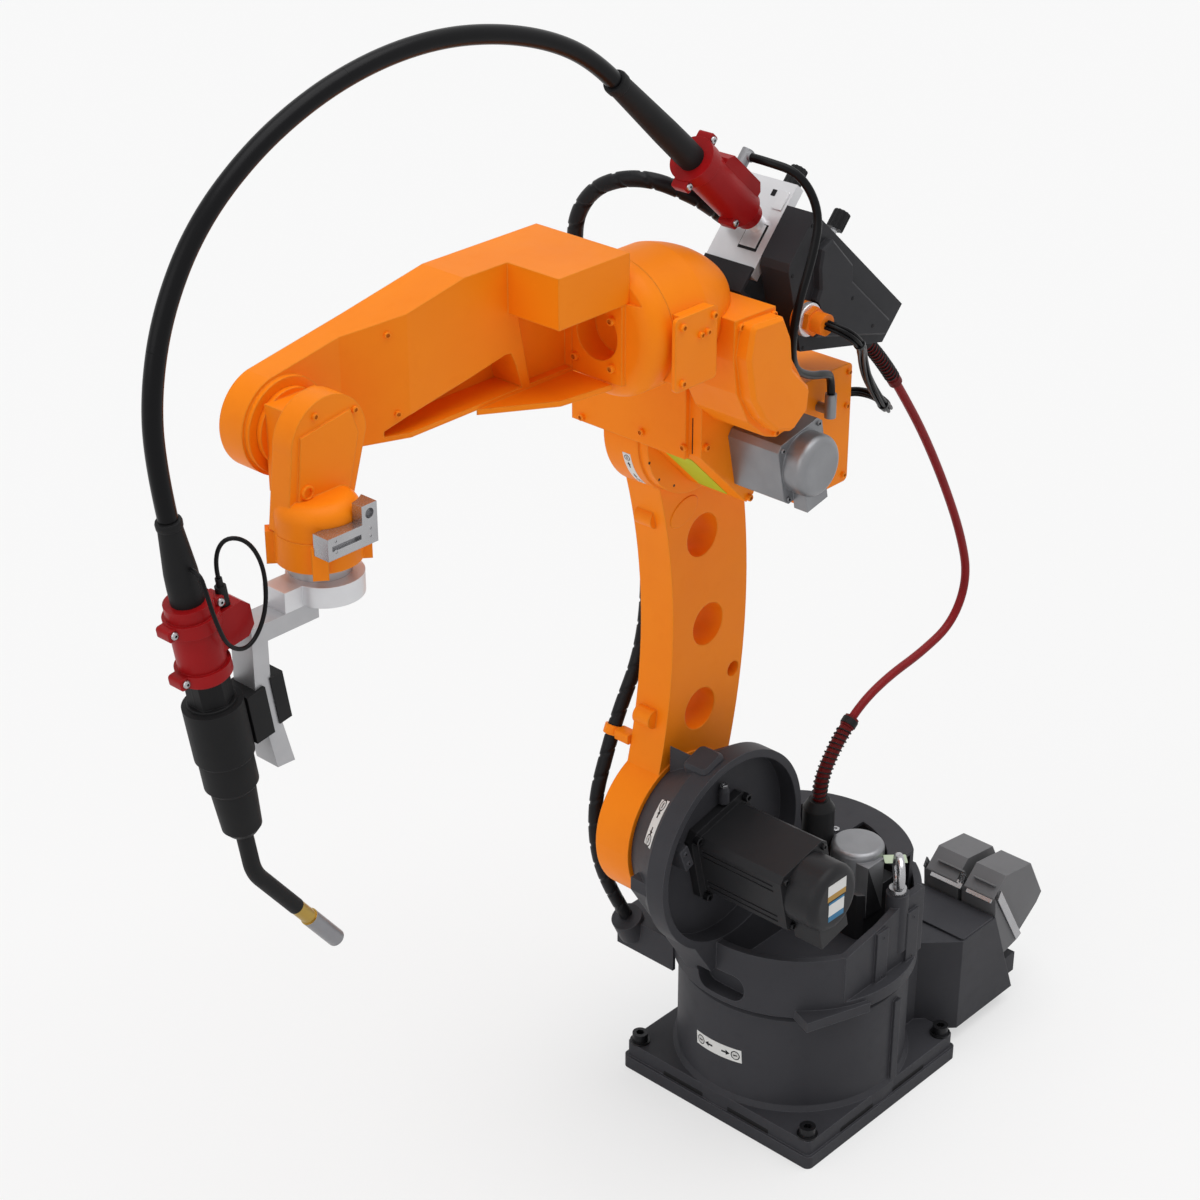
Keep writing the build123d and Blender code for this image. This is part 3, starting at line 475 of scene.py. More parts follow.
spiral_route = [(0.160, -0.198, 0.262), (0.198, -0.198, 0.330), (0.226, -0.198, 0.410),
                (0.228, -0.198, 0.495), (0.204, -0.198, 0.560), (0.178, -0.198, 0.620),
                (0.130, -0.198, 0.700), (0.116, -0.198, 0.800), (0.124, -0.198, 0.900),
                (0.149, -0.196, 0.985), (0.170, -0.192, 1.065), (0.194, -0.190, 1.150),
                (0.228, -0.190, 1.240), (0.270, -0.188, 1.325), (0.290, -0.176, 1.392),
                (0.290, -0.145, 1.440), (0.286, -0.100, 1.464), (0.268, -0.062, 1.466),
                (0.232, -0.044, 1.446), (0.196, -0.040, 1.424), (0.160, -0.040, 1.397)]
air_route = [(0.172, 0.014, 1.488), (0.172, 0.034, 1.488), (0.150, 0.074, 1.476), (0.134, 0.094, 1.426),
             (0.154, 0.100, 1.375), (0.177, 0.098, 1.320), (0.174, 0.088, 1.262), (0.144, 0.070, 1.214),
             (0.092, 0.056, 1.186), (0.046, 0.046, 1.172), (0.018, 0.034, 1.158), (0.014, 0.032, 1.130)]
bundle_route = [(0.1448, 0.120, 1.2884), (0.1448, 0.146, 1.2884), (0.112, 0.150, 1.262),
                (0.072, 0.122, 1.226), (0.028, 0.100, 1.176), (-0.020, 0.086, 1.126),
                (-0.062, 0.072, 1.094), (-0.098, 0.044, 1.082), (-0.112, 0.006, 1.084),
                (-0.096, -0.024, 1.085), (-0.057, -0.024, 1.085)]
loop_route = [(1.03505, 0.010, 1.23308), (1.03887, 0.010, 1.25677), (1.030, 0.018, 1.282),
              (1.004, 0.026, 1.272), (0.986, 0.028, 1.232), (0.990, 0.030, 1.180), (1.018, 0.034, 1.150),
              (1.050, 0.038, 1.164), (1.068, 0.042, 1.206), (1.076, 0.040, 1.244), (1.077, 0.034, 1.262),
              (1.077, 0.0193, 1.262)]


def stretch(route, first, last):
    """Part of a route, from the middle of one run to the middle of another."""
    points = [Vector(point) for point in route]
    start = [] if first is None else [(points[first] + points[first + 1]) / 2]
    end = [] if last is None else [(points[last] + points[last + 1]) / 2]
    inside = points[0 if first is None else first + 1:len(points) if last is None else last + 1]
    return start + inside + end


print("routes", 6)

# %% [markdown]
# The torch cable is the robot's tallest arc. It crosses three joints, so it comes in three lengths.

# %% Torch cable, in three lengths
HOSE_RING = 0.006
TORCH_CABLE = 0.022
for part, first, last, bodies in (("rear", None, 5, ("elbow", "forearm")),
                                  ("middle", 5, 9, ("forearm", "wrist")),
                                  ("front", 9, None, ("wrist", "tool"))):
    points = stretch(torch_route, first, last)
    line = even_line(spline_line(points), HOSE_RING)
    cable = swept("torch_cable_" + part + "_jacket", line, TORCH_CABLE / 2, jacket_rubber, 28)
    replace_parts(cable, "torch_cable_" + part)
    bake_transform(cable)
    print("torch cable", part, round(length_of(line), 3), "m")

# %% [markdown]
# The red hose brings gas and power to the feeder. Two ribbed sleeves keep it from kinking at its ends: a
# red tube, a black spring wound over it, and a black collar. Where the arm swings, the hose is the piece
# that gives way.

# %% Profiles of the ribbed sleeves, in metres
SLEEVE_RING = 0.0009
SPRING_PITCH = 0.0075
SPRING_SHARE = 0.3
SPRING_INSIDE = 0.0070
spring_radius = {"upper": 0.0108, "lower": 0.0118}
spring_bare_ends = {"upper": (0.022, 0.014), "lower": (0.019, 0.0)}
collar_radius = {"upper": 0.0113, "lower": 0.0124}
collar_span = {"upper": (-SLEEVE_RING, 0.022), "lower": (0.003, 0.014)}


def upper_tube(distance, turn):
    """Red tube of the upper sleeve, with a collar at the hose's end."""
    return 0.0100 if distance > 0.120 else 0.0088


def lower_tube(distance, turn):
    """Red tube of the lower sleeve, with a collar where it grips the hose."""
    return 0.0112 if distance < 0.017 else 0.0098


def springs(high, first, last):
    """Radius of a black spring wound over a sleeve: it rises above the tube for a third of each turn."""
    def radius(distance, turn):
        phase = (distance / SPRING_PITCH - turn / math.tau) % 1.0
        wound = first < distance < last and phase < SPRING_SHARE
        return high if wound else SPRING_INSIDE
    return radius


print("turns of spring in 0.1 m", round(0.1 / SPRING_PITCH, 1))

# %% Red hose and its ribbed sleeves
RED_HOSE = 0.013
for part, first, last, bodies, sleeve_ends, tube, home in (
        ("upper", 2, 5, ("elbow", "upper_arm"), (None, 2), upper_tube, "elbow"),
        ("lower", 5, 11, ("upper_arm", "turret"), (11, None), lower_tube, "turret")):
    sleeve_line = even_line(spline_line(stretch(red_route, *sleeve_ends)), SLEEVE_RING)
    sleeve = swept("red_sleeve_" + part + "_tube", sleeve_line, tube, sleeve_rubber, 24)
    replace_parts(sleeve, "red_sleeve_" + part)
    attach(sleeve, home)
    bare_start, bare_end = spring_bare_ends[part]
    coil = springs(spring_radius[part], bare_start, length_of(sleeve_line) - bare_end)
    spring = swept("red_sleeve_" + part + "_spring", sleeve_line, coil, black_nylon, 24)
    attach(spring, home)
    start, end = collar_span[part]
    collar_line = [point for index, point in enumerate(sleeve_line) if start < index * SLEEVE_RING < end]
    collar = swept("red_sleeve_" + part + "_collar", collar_line, collar_radius[part], black_nylon, 28)
    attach(collar, home)
    line = even_line(spline_line(stretch(red_route, first, last)), HOSE_RING)
    hose = swept("red_hose_" + part + "_jacket", line, RED_HOSE / 2, hose_rubber, 20)
    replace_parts(hose, "red_hose_" + part)
    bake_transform(hose)
    print("red hose", part, round(length_of(line), 3), "m")

# %% [markdown]
# The arm's own cables climb its far side in a spiral wrap: a flat plastic band wound around the bundle with
# a gap between the turns. In section that is only a step in radius that winds as it goes along.

# %% Spiral wrapped cable
BAND_PITCH = 0.036
BAND_SHARE = 0.84
BAND_RADIUS = 0.0104
BUNDLE_RADIUS = 0.0090
WRAP_RING = 0.0018


def wrap(distance, turn):
    """Radius of the bundle under a band that winds once every 36 mm."""
    phase = (distance / BAND_PITCH - turn / math.tau) % 1.0
    return BAND_RADIUS if phase < BAND_SHARE else BUNDLE_RADIUS


for part, first, last, bodies in (("lower", None, 4, ("turret", "upper_arm")), ("arm", 4, 9, None),
                                  ("upper", 9, None, ("upper_arm", "elbow"))):
    points = stretch(spiral_route, first, last)
    line = even_line(spline_line(points), WRAP_RING)
    cable = swept("spiral_cable_" + part + "_wrap", line, wrap, spiral_plastic, 26)
    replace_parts(cable, "spiral_cable_" + part)
    if bodies:
        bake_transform(cable)
    else:
        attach(cable, "upper_arm")
    print("spiral cable", part, round(length_of(line), 3), "m")

# %% [markdown]
# The air hose leaves its fittings on the feeder, hangs down beside the case and ends on the elbow. It is
# thin and smooth, so one plain tube is enough.

# %% Air hose from the feeder to the elbow
AIR_HOSE = 0.011
line = even_line(spline_line(air_route), 0.005)
air_hose = swept("air_hose_jacket", line, AIR_HOSE / 2, jacket_rubber, 18)
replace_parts(air_hose, "air_hose")
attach(air_hose, "elbow")
print("air hose", round(length_of(line), 3), "m")

# %% [markdown]
# The feeder's gland lets six thin leads out, which two ties hold together until they turn back into the
# wiring box. Each lead is a tube of its own that runs aside from the bundle's line and twists a little
# around it.

# %% Bundle of leads, with its ties
MIDDLE_LEAD = 0.0024
OUTER_LEAD = 0.0023
LEAD_ASIDE = 0.0046
LEAD_TWIST = 7.0
TIE = 0.0076
tie_rings = (12, 56)
line = even_line(spline_line(bundle_route), 0.005)
bm = bmesh.new()
sweep(bm, line, MIDDLE_LEAD, 12)
for lead in range(5):
    sweep(bm, line, OUTER_LEAD, 12, LEAD_ASIDE, math.tau * lead / 5, LEAD_TWIST)
for start in tie_rings:
    sweep(bm, line[start:start + 2], TIE, 20)
cable_bundle = to_object("cable_bundle_leads", bm, jacket_rubber)
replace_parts(cable_bundle, "cable_bundle")
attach(cable_bundle, "elbow")
print("cable bundle", round(length_of(line), 3), "m")

# %% [markdown]
# A thin signal lead leaves its plug on the torch's connector, hangs in one open loop and ends at the boot.
# It belongs to the torch, so it rides on the tool.

# %% Signal lead that loops from its plug to the torch's boot
SIGNAL_LEAD = 0.005
line = even_line(spline_line(loop_route), 0.004)
signal_loop = swept("signal_loop_jacket", line, SIGNAL_LEAD / 2, jacket_rubber, 14)
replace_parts(signal_loop, "signal_loop")
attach(signal_loop, "tool")
print("signal loop", round(length_of(line), 3), "m")

# %% [markdown]
# ## Turned and flat forms
# Screws, rings and studs are turned: a short profile spun about an axis. Plates, pads and labels are a flat
# outline with a little thickness. A stand says where such a form sits on its casting and which way it
# faces, so that the same few functions serve every screw and every label.

# %% Stands, turned forms and flat forms


def facing(place, direction, up=(0, 0, 1)):
    """Stand for a form drawn along Z: its place in millimetres, the way it faces, and its upper side."""
    normal = Vector(direction).normalized()
    right = Vector(up).cross(normal)
    if right.length < 0.01:
        right = Vector((1, 0, 0))
    right.normalize()
    turn = Matrix((right, normal.cross(right), normal)).transposed().to_4x4()
    return Matrix.Translation(mm(*place)) @ turn


def spin(bm, stand, profile, sides=24, hexed=None, mark=0):
    """Turns a profile of radius and height in millimetres. From ring number hexed on, it is a hexagon."""
    rings = []
    for index, (radius, height) in enumerate(profile):
        ring = []
        for corner in range(sides):
            turn = math.tau * corner / sides
            flat = math.cos((turn + math.pi / 6) % (math.pi / 3) - math.pi / 6)
            size = radius / flat if hexed is not None and index >= hexed else radius
            ring.append(bm.verts.new(stand @ mm(size * math.cos(turn), size * math.sin(turn), height)))
        rings.append(ring)
    faces = [bm.faces.new(rings[0][::-1])]
    for low, high in zip(rings, rings[1:]):
        for a in range(sides):
            b = (a + 1) % sides
            faces.append(bm.faces.new((low[a], low[b], high[b], high[a])))
    faces.append(bm.faces.new(rings[-1]))
    for face in faces:
        face.material_index = mark
    return faces


def raise_flat(bm, stand, outline, low, high, rim, mark=0):
    """A flat outline in millimetres, raised from low to high, with its upper edge broken by the rim."""
    middle = sum((Vector(point) for point in outline), Vector((0, 0))) / len(outline)
    rings = []
    for height, inset in ((low, 0), (high - rim, 0), (high, rim)):
        ring = []
        for point in outline:
            away = Vector(point) - middle
            spot = middle + away * (1 - inset / max(away.length, 0.1))
            ring.append(bm.verts.new(stand @ mm(spot.x, spot.y, height)))
        rings.append(ring)
    faces = [bm.faces.new(rings[0][::-1]), bm.faces.new(rings[-1])]
    for lower, upper in zip(rings, rings[1:]):
        for a in range(len(outline)):
            b = (a + 1) % len(outline)
            faces.append(bm.faces.new((lower[a], lower[b], upper[b], upper[a])))
    for face in faces:
        face.material_index = mark


def rounded(width, height, radius, x=0.0, y=0.0):
    """A rectangle with round corners of five points each, as an outline."""
    outline = []
    for corner, (side, over) in enumerate(((1, 1), (-1, 1), (-1, -1), (1, -1))):
        for step in range(5):
            turn = math.radians(90 * corner + 22.5 * step)
            outline.append((x + side * (width / 2 - radius) + radius * math.cos(turn),
                            y + over * (height / 2 - radius) + radius * math.sin(turn)))
    return outline


def seat(name, bm, body, slot, *finishes):
    """Closes a form: an object with its finishes, riding on a body."""
    piece = to_object(name, bm, finishes[0])
    for finish in finishes[1:]:
        piece.data.materials.append(finish)
    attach(piece, body)
    return piece


# %% [markdown]
# ## Screws
# Covers are held by socket screws. Those on the arm were painted over with it, and paint has half filled
# their sockets. Each socket is coloured darker than its head, which is painted shade. They lie where the
# covers' corners are, and each group that faces one way is one piece.

# %% Socket screws on the castings
HEAD_SIDES = 24
CLEAN_SOCKET = 0.7
PAINTED_SOCKET = 0.35


def socket_head(bm, stand, radius, height, depth=CLEAN_SOCKET):
    """A cylinder head with a hexagon socket, in millimetres. The socket's depth is a share of the radius."""
    head = ((radius, -0.6), (radius, height - 0.8), (radius - 0.8, height), (radius * 0.54, height),
            (radius * 0.50, height - radius * depth))
    # The socket's faces take the piece's second finish, a darker colour that is painted shade.
    for face in spin(bm, stand, head, HEAD_SIDES, 3)[-HEAD_SIDES - 1:]:
        face.material_index = 1


def socket_screws(bm, spots, direction, radius, height):
    """A group of painted screws that face one way. Places and sizes are in millimetres."""
    for spot in spots:
        socket_head(bm, facing(spot, direction), radius, height, PAINTED_SOCKET)


bm = bmesh.new()
socket_screws(bm, ((397.5, 99.5, 1353.5), (341.5, 99.5, 1353.6), (396.8, 99.5, 1282.4)), (0, 1, 0), 4.6, 5.0)
socket_screws(bm, ((365.2, 99.5, 1335.2), (353.2, 99.5, 1335.9)), (0, 1, 0), 4.0, 5.5)
socket_screws(bm, ((288.5, 97.5, 1322.0), (226.0, 97.5, 1320.5), (214.0, 97.5, 1159.8)), (0, 1, 0), 4.8, 5.0)
socket_screws(bm, ((263, -187.2, 1111.7), (263, -81.5, 1121.9), (263, -9.1, 1122.2)), (1, 0, 0), 4.8, 5.0)
socket_screws(bm, ((246.2, 12, 1123.1), (156.5, 12, 1021.3)), (0, 1, 0), 4.8, 5.0)
socket_screws(bm, ((-49, 12, 1136.4), (-47, 12, 1087.8), (-47, 12, 985)), (0, 1, 0), 4.2, 4.0)
seat("elbow_screws", bm, "elbow", "orange_paint", orange_enamel, socket_shade)

bm = bmesh.new()
socket_screws(bm, ((437, 25.3, 1353.9), (437, -33.4, 1293.5), (437, 25.5, 1293.4)), (1, 0, 0), 5.2, 6.5)
socket_screws(bm, ((719.1, -46.8, 1303.2), (727.4, -50.2, 1400.6)), (0.38, 0.92, 0), 4.0, 3.5)
seat("forearm_screws", bm, "forearm", "orange_paint", orange_enamel, socket_shade)

bm = bmesh.new()
socket_screws(bm, ((884.3, 2, 1367.3), (827.4, 2, 1357.6)), (0, 1, 0), 4.0, 3.5)
wrist_plug = ((8.6, 0), (8.6, 6.0), (7.6, 7.0), (6.2, 7.0), (5.6, 6.4), (5.4, 1.0))
spin(bm, facing((903, 1.5, 1285), (0, 1, 0)), wrist_plug)
seat("wrist_screws", bm, "wrist", "orange_paint", orange_enamel, socket_shade)

bm = bmesh.new()
socket_screws(bm, ((866.8, 63.5, 1249.2), (867, 63.5, 1239.9), (917, 63.5, 1251), (916.5, 63.5, 1238)),
              (0, 1, 0), 2.4, 0.9)
seat("stop_bracket_screws", bm, "wrist", "bracket_steel", bail_steel, dark_colour_and_painted_shade)

bm = bmesh.new()
socket_screws(bm, ((9, 167.5, 314), (9, 167.5, 246), (-64, 167.5, 314), (-64, 167.5, 246)), (0, 1, 0),
              3.6, 1.0)
seat("turret_pad_screws", bm, "turret", "grey_paint", iron_powder_coat, dark_colour_and_painted_shade)

bm = bmesh.new()
socket_screws(bm, ((945, -10, 1160.5), (945, 10, 1160.5)), (0, 0, 1), 3.2, 2.0)
seat("bracket_screws", bm, "tool", "black_bolt", black_oxide, dark_colour_and_painted_shade)
print("screw groups", 6)

# %% [markdown]
# ## Bolts of the motors and of the foot
# The shoulder's motor stands a little turned about its own axis, so its bolts are placed in the motor's
# frame and then turned with it. Four hold its flange, and four more its end plate. The elbow's motor has
# four as well, and each bolt of the foot has a washer.

# %% Bolts of the two motors, and washers of the foot
SHOULDER = (151.0, 460.0)
SHOULDER_LEAN = 13
ELBOW = (150.0, 1097.0)
ELBOW_LEAN = 12
FOOT_BOLT = 163.7
corners = [(x, z) for x in (-1, 1) for z in (-1, 1)]


def motor_stand(centre, lean, x, y, z):
    """Stand on a motor: a place in its own frame, facing out along its axis."""
    turn = math.radians(lean)
    return facing((centre[0] + x * math.cos(turn) + z * math.sin(turn), y,
                   centre[1] - x * math.sin(turn) + z * math.cos(turn)), (0, 1, 0))


bm = bmesh.new()
for x, z in corners:
    socket_head(bm, motor_stand(SHOULDER, SHOULDER_LEAN, 54 * x, -16, 54 * z), 6.5, 9)
    socket_head(bm, motor_stand(SHOULDER, SHOULDER_LEAN, 42 * x, 133, 42 * z), 4.6, 5)
seat("shoulder_motor_bolts", bm, "turret", "black_bolt", black_oxide, dark_colour_and_painted_shade)

bm = bmesh.new()
for x, z in corners:
    socket_head(bm, motor_stand(ELBOW, ELBOW_LEAN, 37 * x, 94.8, 37 * z), 3.4, 3.2)
seat("elbow_motor_bolts", bm, "elbow", "motor_silver", die_cast, dark_colour_and_painted_shade)

bm = bmesh.new()
washer = ((13.6, 0), (13.6, 1.0), (13.2, 1.4), (9, 1.4))
for x, y in corners:
    spin(bm, facing((FOOT_BOLT * x, FOOT_BOLT * y, 44.9), (0, 0, 1)), washer, 32)
seat("foot_washers", bm, "base", "bail_steel", bail_steel)
print("motor bolts", 12, "washers", 4)

# %% [markdown]
# ## Labels
# Each axis has a small white label with two arrows that show which way it turns, and the shoulder motor has
# a rating plate in bands of colour. They are thin film, so they follow the metal under them: one function
# maps a place on the label to a place on the casting, whether that is flat, a cylinder or a cone.

# %% Film that follows a surface


def film(bm, place_at, stations, high, mark=0, low=0.0):
    """A strip through stations of (along, lower edge, upper edge) in millimetres, raised from low to high."""
    rings = []
    for u, v0, v1 in stations:
        section = ((v0, low), (v0, high), (v1, high), (v1, low))
        rings.append([bm.verts.new(place_at(u, v, lift)) for v, lift in section])
    faces = [bm.faces.new(rings[0]), bm.faces.new(rings[-1][::-1])]
    for left, right in zip(rings, rings[1:]):
        for a in range(4):
            b = (a + 1) % 4
            faces.append(bm.faces.new((left[a], right[a], right[b], left[b])))
    for face in faces:
        face.material_index = mark


def strip(u0, u1, v0, v1, steps):
    """Stations of a straight band."""
    return [(u0 + (u1 - u0) * step / steps, v0, v1) for step in range(steps + 1)]


def disc(u, v, radius):
    """Stations of a round spot. It begins and ends a hair inside, so that no edge has a length of nought."""
    turns = [math.pi * (step + 0.02) / 12.04 for step in range(13)]
    return [(u - radius * math.cos(t), v - radius * math.sin(t), v + radius * math.sin(t)) for t in turns]


print("stations of a spot", len(disc(0, 0, 1)))

# %% Three labels with arrows, on a cylinder, a cone and the arm's head
COLUMN = 174
HEAD = 101
DRUM = 141.9
DRUM_RISE = 0.546
DRUM_RUN = 0.838


def axis_label(name, body, slot, place_at, length, width):
    """White label with an arrow each way and a plain ring at each end. Places are shares of its length."""
    bm = bmesh.new()
    stem = width * 0.07
    film(bm, place_at, strip(-length / 2, length / 2, -width / 2, width / 2, 16), 0.30)
    for way in (-1, 1):
        tail, neck, tip, spot = (way * length * share for share in (0.10, 0.19, 0.27, 0.38))
        film(bm, place_at, [(tail, -stem, stem), (neck, -stem, stem)], 0.42, 1, 0.30)
        film(bm, place_at, [(neck, -width * 0.2, width * 0.2), (tip, -0.1, 0.1)], 0.42, 1, 0.30)
        film(bm, place_at, disc(spot, 0, width * 0.34), 0.40, 1, 0.30)
        film(bm, place_at, disc(spot, 0, width * 0.27), 0.50, 0, 0.40)
        film(bm, place_at, strip(spot - width * 0.16, spot + width * 0.16, -width * 0.045, width * 0.045, 2),
             0.58, 1, 0.50)
    return seat(name, bm, body, slot, white_film, dark_colour_and_painted_shade)


def on_column(u, v, lift):
    """The column is a cylinder about the turret's axis, and the label on it slopes by 4 degrees."""
    slope = math.radians(4.2)
    turn = math.radians(-0.8) + (u * math.cos(slope) - v * math.sin(slope)) / COLUMN
    height = 120.8 + u * math.sin(slope) + v * math.cos(slope)
    return mm((COLUMN + lift) * math.cos(turn), (COLUMN + lift) * math.sin(turn), height)


def on_drum(u, v, lift):
    """The shoulder drum's side is a cone about the shoulder's axis, whose radius grows with the width."""
    radius = DRUM + DRUM_RISE * v + DRUM_RUN * lift
    turn = math.radians(34.7) + u / DRUM
    return mm(SHOULDER[0] + radius * math.cos(turn), -47.3 + DRUM_RUN * v - DRUM_RISE * lift,
              SHOULDER[1] + radius * math.sin(turn))


def on_arm(u, v, lift):
    """The arm's head is a cylinder about the elbow's axis."""
    turn = math.radians(-31) + u / HEAD
    return mm(ELBOW[0] + (HEAD + lift) * math.cos(turn), -122 + v,
              ELBOW[1] + (HEAD + lift) * math.sin(turn))


axis_label("column_label", "base", "", on_column, 88, 22.5)
axis_label("drum_label", "turret", "", on_drum, 69, 27)
axis_label("arm_label", "upper_arm", "", on_arm, 64, 14)
print("labels", 3)

# %% [markdown]
# The rating plate is one film in five bands. The lime plate is a plain film on the elbow's sloping face. The
# seam beside it is a dark strip a quarter of a millimetre high, because a real gap of that width wouldn't
# show.

# %% Rating plate on the motor's cap, bare plate on the elbow, and seam
bm = bmesh.new()
cap_face = facing((SHOULDER[0], 185, SHOULDER[1]), (0, 1, 0))


def on_cap(u, v, lift):
    """The motor's cap is flat."""
    return cap_face @ mm(u, v, lift)


bands = ((20, 14, 31, 0), (20, 5, 14, 1), (17, -1, 2.5, 2), (17, -20, -1, 0), (17, -29, -20, 2))
for half, lower, upper, mark in bands:
    film(bm, on_cap, strip(-half, half, lower, upper, 1), 0.35, mark)
seat("motor_rating_plate", bm, "turret", "", white_film, gold_film, blue_film)

slope_face = facing((201.5, -42, 1056.2), (0.7071, 0, -0.7071), (0.7071, 0, 0.7071))
bm = bmesh.new()
raise_flat(bm, slope_face, rounded(50, 106, 3), 0, 0.4, 0.1)
seat("bare_lime_plate", bm, "elbow", "", lime_film)

bm = bmesh.new()
raise_flat(bm, facing((255, -2.5, 1137), (1, 0, 0)), rounded(1.6, 50, 0.5), 0, 0.25, 0.05)
seat("casing_seam", bm, "elbow", "black_plastic", dark_colour_and_painted_shade)
print("plates", 2, "seams", 1)

# %% [markdown]
# ## Clamps of the torch cable
# Each red connector is two half shells pulled together by screws through small ears. The ears are moulded
# with the shell, and the pan heads are plated steel.

# %% Ears and pan heads
PAN_SIDES = 20
torch_frame = Matrix.Translation(mm(1049, 0, 1087)) @ Matrix.Rotation(math.radians(9.15), 4, "Y")
feeder_frame = Matrix.Translation(mm(150, 0, 1320)) @ Matrix.Rotation(math.radians(-42), 4, "Y")
ACROSS = Matrix.Rotation(math.radians(-90), 4, "X")


def ear(shells, heads, frame, x, y, z):
    """An ear on the shell with a pan head on its near side. The place is in the connector's frame."""
    stand = frame @ Matrix.Translation(mm(x, y, z)) @ ACROSS
    raise_flat(shells, stand, rounded(15, 14, 3.5), -11, 10, 1.2)
    pan = ((5.0, 9.6), (5.0, 10.6), (4.2, 12.0), (2.4, 12.7), (1.5, 12.7), (1.4, 11.4))
    # The recess in the pan head takes the second finish, a dark colour that is painted shade.
    for face in spin(heads, stand, pan, PAN_SIDES, 4)[-PAN_SIDES - 1:]:
        face.material_index = 1


for end, body, frame, spots in (("torch", "tool", torch_frame, ((32, 0, 108), (32, 0, 45), (-29, 6, 118))),
                                ("feeder", "elbow", feeder_frame, ((205, 0, 91), (205, 0, 27), (98, 4, 34)))):
    shells = bmesh.new()
    heads = bmesh.new()
    for spot in spots:
        ear(shells, heads, frame, *spot)
    seat(end + "_connector_ears", shells, body, "red_plastic", red_nylon)
    seat(end + "_connector_screws", heads, body, "bail_steel", bail_steel, dark_colour_and_painted_shade)
print("connectors", 2)

# %% [markdown]
# ## Small hardware
# What is left is small, but the robot looks like a toy without it. The turret has two hexagon plugs of
# plated steel, one on the drum and one on the rear cover, and a cast block with two screws at the drum's
# rim.

# %% Hardware on the turret
bm = bmesh.new()
drum_plug = ((5.2, 0), (5.2, 3.6), (4.7, 4.2), (2.4, 4.2), (2.2, 2.6))
cover_plug = ((6.0, 0), (6.0, 3.4), (5.4, 4.0), (2.8, 4.0), (2.6, 2.2))
spin(bm, facing((149, -22.5, 555.6), (0, 0, 1)), drum_plug, 24, 0)
spin(bm, facing((-82, 5, 384.6), (0, 0, 1)), cover_plug, 24, 0)
seat("hexagon_plugs", bm, "turret", "bail_steel", bail_steel)

bm = bmesh.new()
block = facing((253, -30, 494.5), (0, 1, 0), (0.354, 0, 0.935))
raise_flat(bm, block, rounded(17, 40, 2), 0, 30, 1)
for height in (-10, 10):
    socket_head(bm, block @ Matrix.Translation(mm(0, height, 30)), 3.2, 1.6)
seat("drum_stop_block", bm, "turret", "grey_paint", iron_powder_coat, dark_colour_and_painted_shade)
print("pieces on the turret", 2)

# %% [markdown]
# A lug is cast on top of the drum, and a low oval boss on the arm, which leans a little. Three small holes
# in the arm's head are dark discs of painted shade that stand only 0.2 mm proud, so that the elbow clears
# them as it swings. The rear cover has a pale film glued to it.

# %% Lug of the drum, boss and small holes of the arm, film on the cover
OVAL_SIDES = 32
OVAL_WIDE = 27
OVAL_TALL = 20.5
OVAL_LEAN = 9

bm = bmesh.new()
raise_flat(bm, facing((183, -31, 604), (0.32, 0, 0.947), (0, 1, 0)), rounded(46, 44, 9), -14, 13, 5)
seat("drum_top_lug", bm, "turret", "grey_paint", iron_powder_coat)

bm = bmesh.new()
oval = []
for step in range(OVAL_SIDES):
    turn = math.tau * step / OVAL_SIDES
    oval.append((OVAL_WIDE * math.cos(turn) + OVAL_LEAN * math.sin(turn), OVAL_TALL * math.sin(turn)))
raise_flat(bm, facing((155.5, -100.2, 963.3), (0, 1, 0)), oval, 0, 1.5, 1.4)
seat("arm_oval_boss", bm, "upper_arm", "orange_paint", orange_enamel)

bm = bmesh.new()
# Each hole is a dark disc of painted shade.
for spot in ((243.7, -85.4, 1069.5), (224.1, -85.4, 1038.8), (193.9, -85.4, 1020.0)):
    spin(bm, facing(spot, (0, 1, 0)), ((2.0, -0.4), (2.0, 0.14), (1.7, 0.2)), 16)
seat("arm_head_holes_in_painted_shade", bm, "upper_arm", "", dark_colour_and_painted_shade)

bm = bmesh.new()
raise_flat(bm, facing((-80, 118, 385.2), (0, 0, 1), (0.7, 0.7, 0)), rounded(34, 22, 2), 0, 0.5, 0.1)
seat("cover_notice_blank", bm, "turret", "", pale_film)
print("cast forms", 2)

# %% [markdown]
# The spiral wrapped cable is held to the arm by a clip that was painted with it: a short stand, and a ring
# that follows the cable's slope. It stands for the plain block of the CAD model.

# %% Clip that holds the spiral wrapped cable to the arm
bm = bmesh.new()
raise_flat(bm, facing((189, -160.5, 597), (0, -1, 0)), rounded(22, 15, 3), 0, 26, 1)
clip_ring = ((13.4, 0), (14.0, 0.6), (14.0, 13.4), (13.4, 14))
spin(bm, facing((191.1, -198, 590.3), (-0.398, 0, 0.917)), clip_ring, 32)
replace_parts(seat("cable_clip_saddle", bm, "upper_arm", "", orange_enamel), "cable_clip")
print("clips", 1)

# %% [markdown]
# Each plug hood has a bright frame where it meets its housing, and a painted lip beyond it. The foot's
# plate has a long shallow slot in its sides. What shows of it is its shadow, so it is a thin dark strip on
# three sides.

# %% Bright frames and lips of the plug hoods, and the plate's shadow gaps
PLATE_SIDE = 178.0
HAIR = 0.01
GAP_HEIGHT = 24.5

bm = bmesh.new()
lips = bmesh.new()
for across, width in ((66, 58), (129, 48)):
    raise_flat(bm, facing((-299.5, across, 217.5), (0.67, 0, 0.74)), rounded(width, 13, 1.5), 0, 3.2, 0.6)
    raise_flat(lips, facing((-311, across, 235), (0.67, 0, 0.74)), rounded(width - 8, 2.6, 0.8), -1, 6, 0.4)
seat("hood_frames", bm, "base", "bail_steel", bail_steel)
seat("hood_lips", lips, "base", "hood_grey", hood_enamel)

